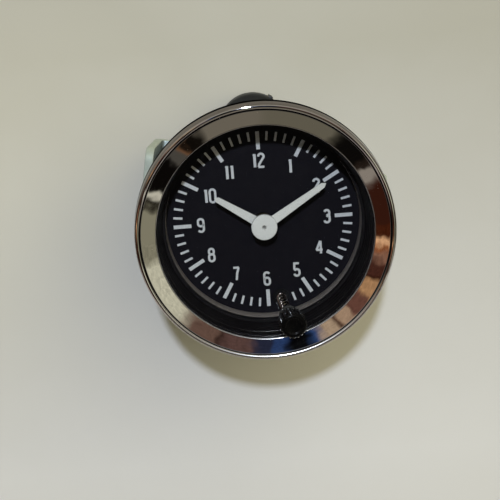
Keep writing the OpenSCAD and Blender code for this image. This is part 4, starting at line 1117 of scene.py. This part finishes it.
class CLOCK_OT_bezel(bpy.types.Operator):
    """Pressed and chromed bezel"""

    bl_idname = "clock.bezel"
    bl_label = "Bezel"

    def execute(self, context):
        s = sizes_mm()
        outer, opening, rim = BEZEL_HIGH.x, s["opening_radius"], s["rim_height"]
        top, under, wall = rim + s["slope_rise"], rim - s["sheet"], outer - s["sheet"]
        roll, roll_set, bead, groove, groove_deep, foot = 0.6, 0.45, 0.15, 0.15, 0.25, 0.9
        lip, lip_thick, under_end, hollow = 26.8, 0.5, 27.4, 0.035
        roll_at = outer - roll_set - roll
        slope_start, slope_end = opening + bead, roll_at - roll - groove
        outline = [(opening, under)] + arc(slope_start, rim - bead, bead, 180, 75, 8)
        # The pressing leaves the slope very slightly hollow
        for t in (0.15, 0.3, 0.45, 0.6, 0.75, 0.88):
            z = rim + s["slope_rise"] * t - hollow * math.sin(math.pi * t)
            outline.append((slope_start + (slope_end - slope_start) * t, z))
        outline += [(slope_end, top), (slope_end + groove, top - groove_deep)]
        outline += arc(roll_at, top - roll_set, roll, 165, 5, 22)
        outline += [(outer, foot + 0.3)] + arc(outer - foot, foot, foot, 0, -90, 10)
        # Inside: round the crimped lip and back up under the sheet
        outline += [(lip, 0.0), (lip, lip_thick), (wall - 0.4, lip_thick), (wall, lip_thick + 0.4)]
        outline += [(wall - 0.45, top - 1.05), (wall - 0.95, top - 0.65), (under_end, under)]
        shell = lathe("bezel_shell", softened(outline, 0.05, 3), steps=360, sharp=50)
        piece("bezel_shell", shell, "chrome", "clock", "chrome", "bezel")
        return {"FINISHED"}


class CLOCK_OT_window(bpy.types.Operator):
    """Glass with its rubber ring and grommet, black shroud and light ring"""

    bl_idname = "clock.window"
    bl_label = "Glass and rings"

    def execute(self, context):
        finish_node("lens", "glass")
        finish_node("lens_seal", "rubber")
        piece("stem_grommet", welded_copy("lens_grommet"), "rubber", "clock", "seal_rubber", "lens_grommet")
        mouth_z, ring_z = span("shroud_ring")[1].z, span("light_ring")[1].z
        # The shroud's lower lip covers the upper part of the light ring
        seam = DIAL_HIGH.z + 0.72 * (ring_z - DIAL_HIGH.z)
        view, mouth, flange, back, flange_z = 23.4, 24.8, 28.85, 25.05, 1.2
        shroud = [(view, seam), (back, seam), (back, flange_z), (flange, flange_z), (flange, mouth_z)]
        shroud.append((mouth, mouth_z))
        # The tapered bore has shallow steps, which show as faint rings at 6 o'clock
        step_down, bore_end = 1.3, 23.95
        for i in range(1, 6):
            z = mouth_z - i * step_down
            r = mouth - (mouth - bore_end) * i / 5.4
            shroud += [(r + 0.05, z + 0.06), (r - 0.02, z)]
        lip_z = ring_z + 0.4
        shroud += [(view + 0.55, lip_z), (view, lip_z)]
        body = lathe("shroud", softened(shroud, 0.06, 3), sharp=40)
        piece("shroud", body, "shroud", "clock", "shroud_black", "shroud_ring")
        rebate = 24.25
        glow = [(view, DIAL_HIGH.z), (rebate, DIAL_HIGH.z), (rebate, DIAL_LOW.z), (back, DIAL_LOW.z)]
        glow += [(back, seam), (view, seam)]
        body = lathe("dial_light_ring", softened(glow, 0.05, 3), sharp=40)
        piece("dial_light_ring", body, "light_ring", "clock", "light_ring", "light_ring")
        return {"FINISHED"}


def stroke(points, width, closed=False):
    """Quads of a flat stroke along a line, with mitred corners, in millimetres."""
    sides = []
    count = len(points)
    for i, point in enumerate(points):
        here = Vector(point)
        before = here - Vector(points[i - 1]) if closed or i else None
        after = Vector(points[(i + 1) % count]) - here if closed or i < count - 1 else None
        ways = [w.normalized() for w in (before, after) if w is not None]
        middle = sum(ways, Vector((0, 0))).normalized()
        normal = Vector((-middle.y, middle.x))
        reach = width / 2 / max(0.5, normal.dot(Vector((-ways[0].y, ways[0].x))))
        sides.append((here + normal * reach, here - normal * reach))
    quads = []
    for i in range(count if closed else count - 1):
        j = (i + 1) % count
        quads.append([sides[i][0], sides[i][1], sides[j][1], sides[j][0]])
    return quads


def numeral_lines(figure, w, h):
    """Centre lines of one figure in a box from -w to w and -h to h: a condensed upright sans serif.

    Each line is its points and whether it closes.
    """
    upper, lower, waist = h - w, w - h, 0.1 * h
    if figure == "0":
        return [(arc(0, upper, w, 0, 180) + arc(0, lower, w, 180, 360), True)]
    if figure == "1":
        return [([(0, -h), (0, h)], False), ([(0, h * 0.94), (-w * 0.42, h * 0.74)], False)]
    if figure == "2":
        swan = arc(0, upper, w, 178, -18, 10) + [(-w * 0.82, -h * 0.62), (-w, -h)]
        return [(swan, False), ([(-w * 1.1, -h), (w * 1.05, -h)], False)]
    if figure == "3":
        nib = [(-w * 0.1, waist)]
        above = arc(0, (h + waist) / 2, w * 0.94, 160, 0, 6)
        above += arc(0, waist + w * 0.62, w * 0.94, -25, -75, 3) + nib
        below = nib + arc(0, waist - w * 0.8, w, 72, 20, 3) + arc(0, lower, w, -10, -168, 8)
        return [(above, False), (below, False)]
    if figure == "4":
        stem, slope = [(w * 0.55, -h), (w * 0.55, h)], [(w * 0.42, h), (-w * 1.05, -h * 0.42)]
        return [(stem, False), (slope, False), ([(-w * 1.15, -h * 0.42), (w * 1.2, -h * 0.42)], False)]
    if figure == "5":
        flag = [(w * 0.95, h), (-w * 0.8, h), (-w * 0.9, waist * 0.4)]
        return [(flag, False), (arc(0, -h * 0.36, w, 150, 20, 6) + arc(0, lower, w, 0, -168, 8), False)]
    if figure == "6":
        back = arc(0, upper, w, 25, 180, 8) + arc(0, lower, w, 180, 360, 10)
        return [(back + arc(0, -h * 0.28, w, 0, 165, 8), False)]
    if figure == "7":
        leg = [(w * 0.9, h), (w * 0.25, h * 0.1), (-w * 0.1, -h)]
        return [([(-w * 1.05, h), (w, h)], False), (leg, False)]
    if figure == "8":
        head = arc(0, h - w * 0.9, w * 0.88, 0, 180) + arc(0, waist + w * 0.8, w * 0.88, 180, 360)
        return [(head, True), (arc(0, waist - w * 0.9, w, 0, 180) + arc(0, lower, w, 180, 360), True)]
    return [([(-x, -y) for x, y in line], closed) for line, closed in numeral_lines("6", w, h)]


# How far each hour's figures stand from the dial's centre, from 1 to 12 o'clock, in millimetres
NUMERAL_REACH = (14.85, 15.4, 15.5, 15.3, 14.85, 14.6, 14.8, 15.15, 15.1, 14.1, 14.3, 14.75)
# Where the two figures of an hour stand beside its middle
FIGURE_GAPS = {"10": (-1.02, 0.52), "11": (-0.62, 0.62), "12": (-1.02, 0.5)}


class CLOCK_OT_dial(bpy.types.Operator):
    """Painted dial with its minute track and hour numerals"""

    bl_idname = "clock.dial"
    bl_label = "Dial"

    def execute(self, context):
        s = sizes_mm()
        finish_node("dial", "dial")
        low, high = DIAL_HIGH.z, span("minute_track")[1].z
        far = s["mark_radius"]
        middle = far - s["minute_mark"] / 2
        rings = []
        for count, size, width in (
            (60, s["minute_mark"], s["minute_width"]),
            (12, s["hour_mark"], s["hour_width"]),
        ):
            box = [(far - size, -width / 2), (far, -width / 2), (far, width / 2), (far - size, width / 2)]
            mark = plate("mark", softened(box, 0.08, 3), low, high, 0.012)
            rings.append(self.marks(mark, count, middle))
        piece("printed_track", merge("printed_track", *rings), "print", "clock", "dial_print", "minute_track")
        self.numerals(s, low, high)
        return {"FINISHED"}

    def marks(self, mark, count, middle):
        """One ring of marks, with room for the setting stem. The hour ring keeps all twelve; the minute ring
        leaves its every fifth to it."""
        return grown(
            tree_of("ring"),
            mark,
            count=count,
            mid_radius=middle * MM,
            clear_of=STEM_ON_DIAL,
            clear_radius=2.2 * MM,
            whole_ring=count == 12,
            material=finish_of("print"),
        )

    def numerals(self, s, low, high):
        """Each figure keeps upright; two-figure hours share one width."""
        pen = s["numeral_stroke"]
        half_w, half_h = (s["numeral_width"] - pen) / 2, (s["numeral_height"] - pen) / 2
        points, faces = [], []
        for hour, reach in enumerate(NUMERAL_REACH, 1):
            text = str(hour)
            turn = math.radians(90 - 30 * hour)
            for figure, offset in zip(text, FIGURE_GAPS.get(text, (0.0,))):
                middle = Vector((reach * math.cos(turn) + offset, reach * math.sin(turn)))
                for k, (line, closed) in enumerate(numeral_lines(figure, half_w, half_h)):
                    # Crossing strokes end at slightly different heights, so no two faces lie in one plane
                    top = high - 0.004 * k
                    upright = figure == "1" and k == 0
                    for quad in stroke(line, pen * (1.18 if upright else 1.0), closed):
                        base = len(points)
                        points += [(c.x + middle.x, c.y + middle.y, z) for z in (low, top) for c in quad]
                        faces += [[base + i for i in (3, 2, 1, 0)], [base + i for i in (4, 5, 6, 7)]]
                        for i in range(4):
                            j = (i + 1) % 4
                            faces.append([base + i, base + j, base + 4 + j, base + 4 + i])
        mesh = mesh_from("hour_numerals", points, faces, weld=False)
        piece("hour_numerals", mesh, "print", "clock", "dial_print")


class CLOCK_OT_hands(bpy.types.Operator):
    """Hour and minute hand, hub disc and the arbor's end"""

    bl_idname = "clock.hands"
    bl_label = "Hands"

    def execute(self, context):
        s = sizes_mm()
        for name, node, body, reach in (
            ("hour_pointer", "hour_hand", "hour_work", s["hour_hand"]),
            ("minute_pointer", "minute_hand", "minute_work", s["minute_hand"]),
        ):
            low, high = span(node)
            # The CAD hand's box gives its direction: the tip lies in the box's far corner
            corner = low if abs(low.x) > abs(high.x) else high
            turn = math.atan2(high.y - s["hand_tip"] / 2 * 0.55, corner.x)
            piece(name, self.hand(s, reach, turn, low.z, high.z), "enamel", body, "hand_white", node)
        hole, edge, rim, top = 0.46, 0.22, HUB_HIGH.x, HUB_HIGH.z
        outline = [(hole, HUB_LOW.z), (rim, HUB_LOW.z)] + arc(rim - edge, top - edge, edge, 0, 90, 6)
        outline += [(rim * 0.5, top), (hole + 0.12, top - 0.01), (hole, top - 0.14)]
        cap = lathe("hub_cap", outline, steps=128)
        piece("hub_cap", cap, "enamel", "minute_work", "hand_white", "hub_disc")
        finish_node("centre_arbor", "arbor_end")
        return {"FINISHED"}

    def hand(self, s, reach, turn, low, high):
        """One tapered hand with a short point and a round eye under the hub."""
        root, tip, hub = s["hand_root"] / 2, s["hand_tip"] / 2, HUB_HIGH.x
        shoulder, end, eye = reach - 0.9, reach - 0.05, hub - 0.35
        start = math.degrees(math.asin(root / eye))
        outline = arc(0, 0, eye, start, 360 - start, 40)
        outline += [(hub, -root), (shoulder, -tip), (end, -0.06), (end, 0.06), (shoulder, tip), (hub, root)]
        cos, sin = math.cos(turn), math.sin(turn)
        turned = [(x * cos - y * sin, x * sin + y * cos) for x, y in outline]
        return plate("hand", turned, low, high, 0.05)


def rib(core, tip, low, high, width, end):
    """One rib along a ribbed rim, tapered at both ends."""
    root = core - 0.08
    sections = []
    for z, far, shoulder in (
        (low, core, core - 0.02),
        (low + end, tip, tip - 0.12),
        (high - end, tip, tip - 0.12),
        (high, core, core - 0.02),
    ):
        half = [(root, width / 2, z), (shoulder, width * 0.36, z), (far, width * 0.12, z)]
        sections.append([(x, -y, z) for x, y, z in half] + half[::-1])
    return loft("rib", sections, 50)


class CLOCK_OT_setting_knob(bpy.types.Operator):
    """Ribbed knob, stem, spring, spring cup and bush"""

    bl_idname = "clock.setting_knob"
    bl_label = "Setting knob"

    def execute(self, context):
        s = sizes_mm()
        tip, low, high = s["knob_radius"], s["knob_level"], s["knob_level"] + s["knob_height"]
        core, crown = tip - s["rib_depth"], 0.35
        outline = [(0, low + 0.02), (core - 0.3, low), (core, low + 0.3), (core, high - crown)]
        outline += arc(core - crown, high - crown, crown, 0, 90, 5)
        # A shallow dish in the top
        outline += [(tip - 1.15, high), (tip - 1.35, high - 0.22), (0, high - 0.25)]
        body = lathe("knob_core", softened(outline, 0.1, 3), STEM, 96)
        width = TURN * tip / s["knob_ribs"] * 0.72
        ribs = grown(
            tree_of("ring"),
            rib(core, tip, low + 0.05, high - 0.05, width, 0.4),
            count=s["knob_ribs"],
            centre=STEM_ON_DIAL,
            material=finish_of("knob"),
        )
        knob = leaned(merge("ribbed_knob", body, ribs))
        piece("ribbed_knob", knob, "knob", "setting_shaft", "knob_black", "setting_knob")
        stem = welded_copy("setting_stem")
        piece("knob_stem", stem, "stem_black", "setting_shaft", "steel", "setting_stem")
        finish_node("setting_pinion", "stem_steel")
        finish_node("setting_collar", "stem_steel")
        piece("dial_bush", welded_copy("stem_bush", 0.06), "bush", "clock", "black_moulding", "stem_bush")
        self.spring(s)
        return {"FINISHED"}

    def spring(self, s):
        """The spring stands on the bush and reaches to the cup; it shortens along the leaning stem."""
        low, high, wire = s["spring_foot"], s["spring_head"], s["spring_wire"]
        # The wire's middle starts a little over half its thickness up, and two end turns lie nearly flat
        lift, end_turns = wire * 0.53, 1.5
        mesh = grown(
            tree_of("coil"),
            bpy.data.meshes.new("seed"),
            turns=s["spring_turns"] + end_turns,
            radius=s["spring_radius"] * MM,
            wire=wire * MM,
            rise=(high - low - 2 * lift) * MM,
            base=(STEM.x * MM, STEM.y * MM, (low + lift) * MM),
            material=finish_of("spring"),
        )
        coil = piece("knob_spring", leaned(mesh), "spring", "clock", "spring_steel", "setting_spring")
        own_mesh(coil)


class CLOCK_OT_case(bpy.types.Operator):
    """Drawn case, rear cover and its screws"""

    bl_idname = "clock.case"
    bl_label = "Case"

    def execute(self, context):
        piece("case_tube", welded_copy("case"), "zinc_case", "clock", "zinc_sheet", "case")
        piece("back_cover", welded_copy("rear_cover", 0.1), "zinc_case", "clock", "zinc_sheet", "rear_cover")
        screws = welded_copy("case_screws", 0.08)
        piece("cover_screws", screws, "zinc_fastener", "clock", "zinc_fastener", "case_screws")
        return {"FINISHED"}


class CLOCK_OT_lamp(bpy.types.Operator):
    """Push-in lamp holder and its bulb"""

    bl_idname = "clock.lamp"
    bl_label = "Lamp"

    def execute(self, context):
        holder = welded_copy("lamp_holder", 0.12, 40)
        piece("lamp_socket", holder, "holder", "clock", "black_moulding", "lamp_holder")
        finish_node("lamp_bulb", "bulb")
        return {"FINISHED"}


class CLOCK_OT_terminals(bpy.types.Operator):
    """Terminal block with two spade blades"""

    bl_idname = "clock.terminals"
    bl_label = "Terminals"

    def execute(self, context):
        block = welded_copy("terminal_block", 0.15)
        piece("blade_block", block, "black", "clock", "black_moulding", "terminal_block")
        piece("spade_blades", welded_copy("terminals", 0.08), "tinned", "clock", "tinned_brass", "terminals")
        return {"FINISHED"}


class CLOCK_OT_bracket(bpy.types.Operator):
    """Clamp bracket with its studs, washers and thumb nuts"""

    bl_idname = "clock.bracket"
    bl_label = "Bracket"

    def execute(self, context):
        piece("clamp_bracket", welded_copy("bracket", 0.18), "zinc_strip", "clock", "zinc_sheet", "bracket")
        studs = welded_copy("mounting_studs")
        piece("studs", studs, "zinc_fastener", "clock", "zinc_fastener", "mounting_studs")
        washers = welded_copy("lock_washers", 0.05)
        piece("washers", washers, "zinc_fastener", "clock", "zinc_fastener", "lock_washers")
        nuts = merge("ribbed_nuts", *self.nuts(sizes_mm()))
        piece("ribbed_nuts", nuts, "zinc_fastener", "clock", "zinc_fastener", "thumb_nuts")
        return {"FINISHED"}

    def nuts(self, s):
        """Ribbed rims round the two nuts, which stand in opposite corners of their node's box."""
        tip, bore, low, high = 6.0, 2.0, NUT_LOW.z, NUT_HIGH.z
        core = tip - s["rib_depth"]
        width = TURN * tip / s["nut_ribs"] * 0.74
        middle = Vector(((NUT_LOW.x + NUT_HIGH.x) / 2, (NUT_LOW.y + NUT_HIGH.y) / 2))
        reach = Vector((NUT_HIGH.x - tip, NUT_LOW.y + tip)) - middle
        # A bevelled rim and a countersunk bore, from the bore's lower edge round
        outline = [(bore, low + 0.2), (bore + 0.2, low), (core - 0.4, low), (core, low + 0.4)]
        outline += [(core, high - 0.4), (core - 0.4, high), (bore + 0.2, high), (bore, high - 0.2)]
        meshes = []
        for side in (-1, 1):
            centre = middle + reach * side
            meshes.append(lathe("nut", softened(outline, 0.12, 3), centre, 120))
            bar = rib(core, tip, low + 0.1, high - 0.1, width, 0.5)
            place = (centre.x * MM, centre.y * MM, 0.0)
            finish = finish_of("zinc_fastener")
            meshes.append(grown(tree_of("ring"), bar, count=s["nut_ribs"], centre=place, material=finish))
        return meshes


class CLOCK_OT_movement(bpy.types.Operator):
    """Finishes of the wheels, plates and electrical pieces inside the case"""

    bl_idname = "clock.movement"
    bl_label = "Movement"

    def execute(self, context):
        for finish, nodes in (
            ("brass", ("centre_wheel", "hour_wheel", "minute_wheel", "front_plate", "rear_plate")),
            ("brass", ("plate_pillars", "movement_spacers")),
            ("arbor_steel", ("cannon_pinion", "minute_wheel_stud", "motor_pinion")),
            ("can", ("stepper_motor", "quartz_can")),
            ("acetal", ("dial_support", "reduction_wheel")),
            ("board", ("circuit_board",)),
            ("black", ("driver_chip",)),
            ("sleeve", ("capacitor",)),
        ):
            for node in nodes:
                finish_node(node, finish)
        return {"FINISHED"}


OPERATORS = (
    CLOCK_OT_stage,
    CLOCK_OT_bezel,
    CLOCK_OT_window,
    CLOCK_OT_dial,
    CLOCK_OT_hands,
    CLOCK_OT_setting_knob,
    CLOCK_OT_case,
    CLOCK_OT_lamp,
    CLOCK_OT_terminals,
    CLOCK_OT_bracket,
    CLOCK_OT_movement,
)


class CLOCK_PT_build(bpy.types.Panel):
    """Sizes, colours and the steps that build the clock"""

    bl_label = "Car clock"
    bl_idname = "CLOCK_PT_build"
    bl_space_type = "VIEW_3D"
    bl_region_type = "UI"
    bl_category = "Clock"

    def draw(self, context):
        for group in (context.scene.clock_sizes, context.scene.clock_colours):
            box = self.layout.box()
            for name in own_names(group):
                box.prop(group, name)
        for operator in OPERATORS:
            self.layout.operator(operator.bl_idname)


CLASSES = (ClockSizes, ClockColours, *OPERATORS, CLOCK_PT_build)


def register():
    for cls in CLASSES:
        bpy.utils.register_class(cls)
    bpy.types.Scene.clock_sizes = bpy.props.PointerProperty(type=ClockSizes)
    bpy.types.Scene.clock_colours = bpy.props.PointerProperty(type=ClockColours)


def unregister():
    del bpy.types.Scene.clock_colours
    del bpy.types.Scene.clock_sizes
    for cls in reversed(CLASSES):
        bpy.utils.unregister_class(cls)


def main():
    """Builds the clock in order."""
    register()
    for operator in OPERATORS:
        group, name = operator.bl_idname.split(".")
        getattr(getattr(bpy.ops, group), name)()


if __name__ == "__main__":
    main()
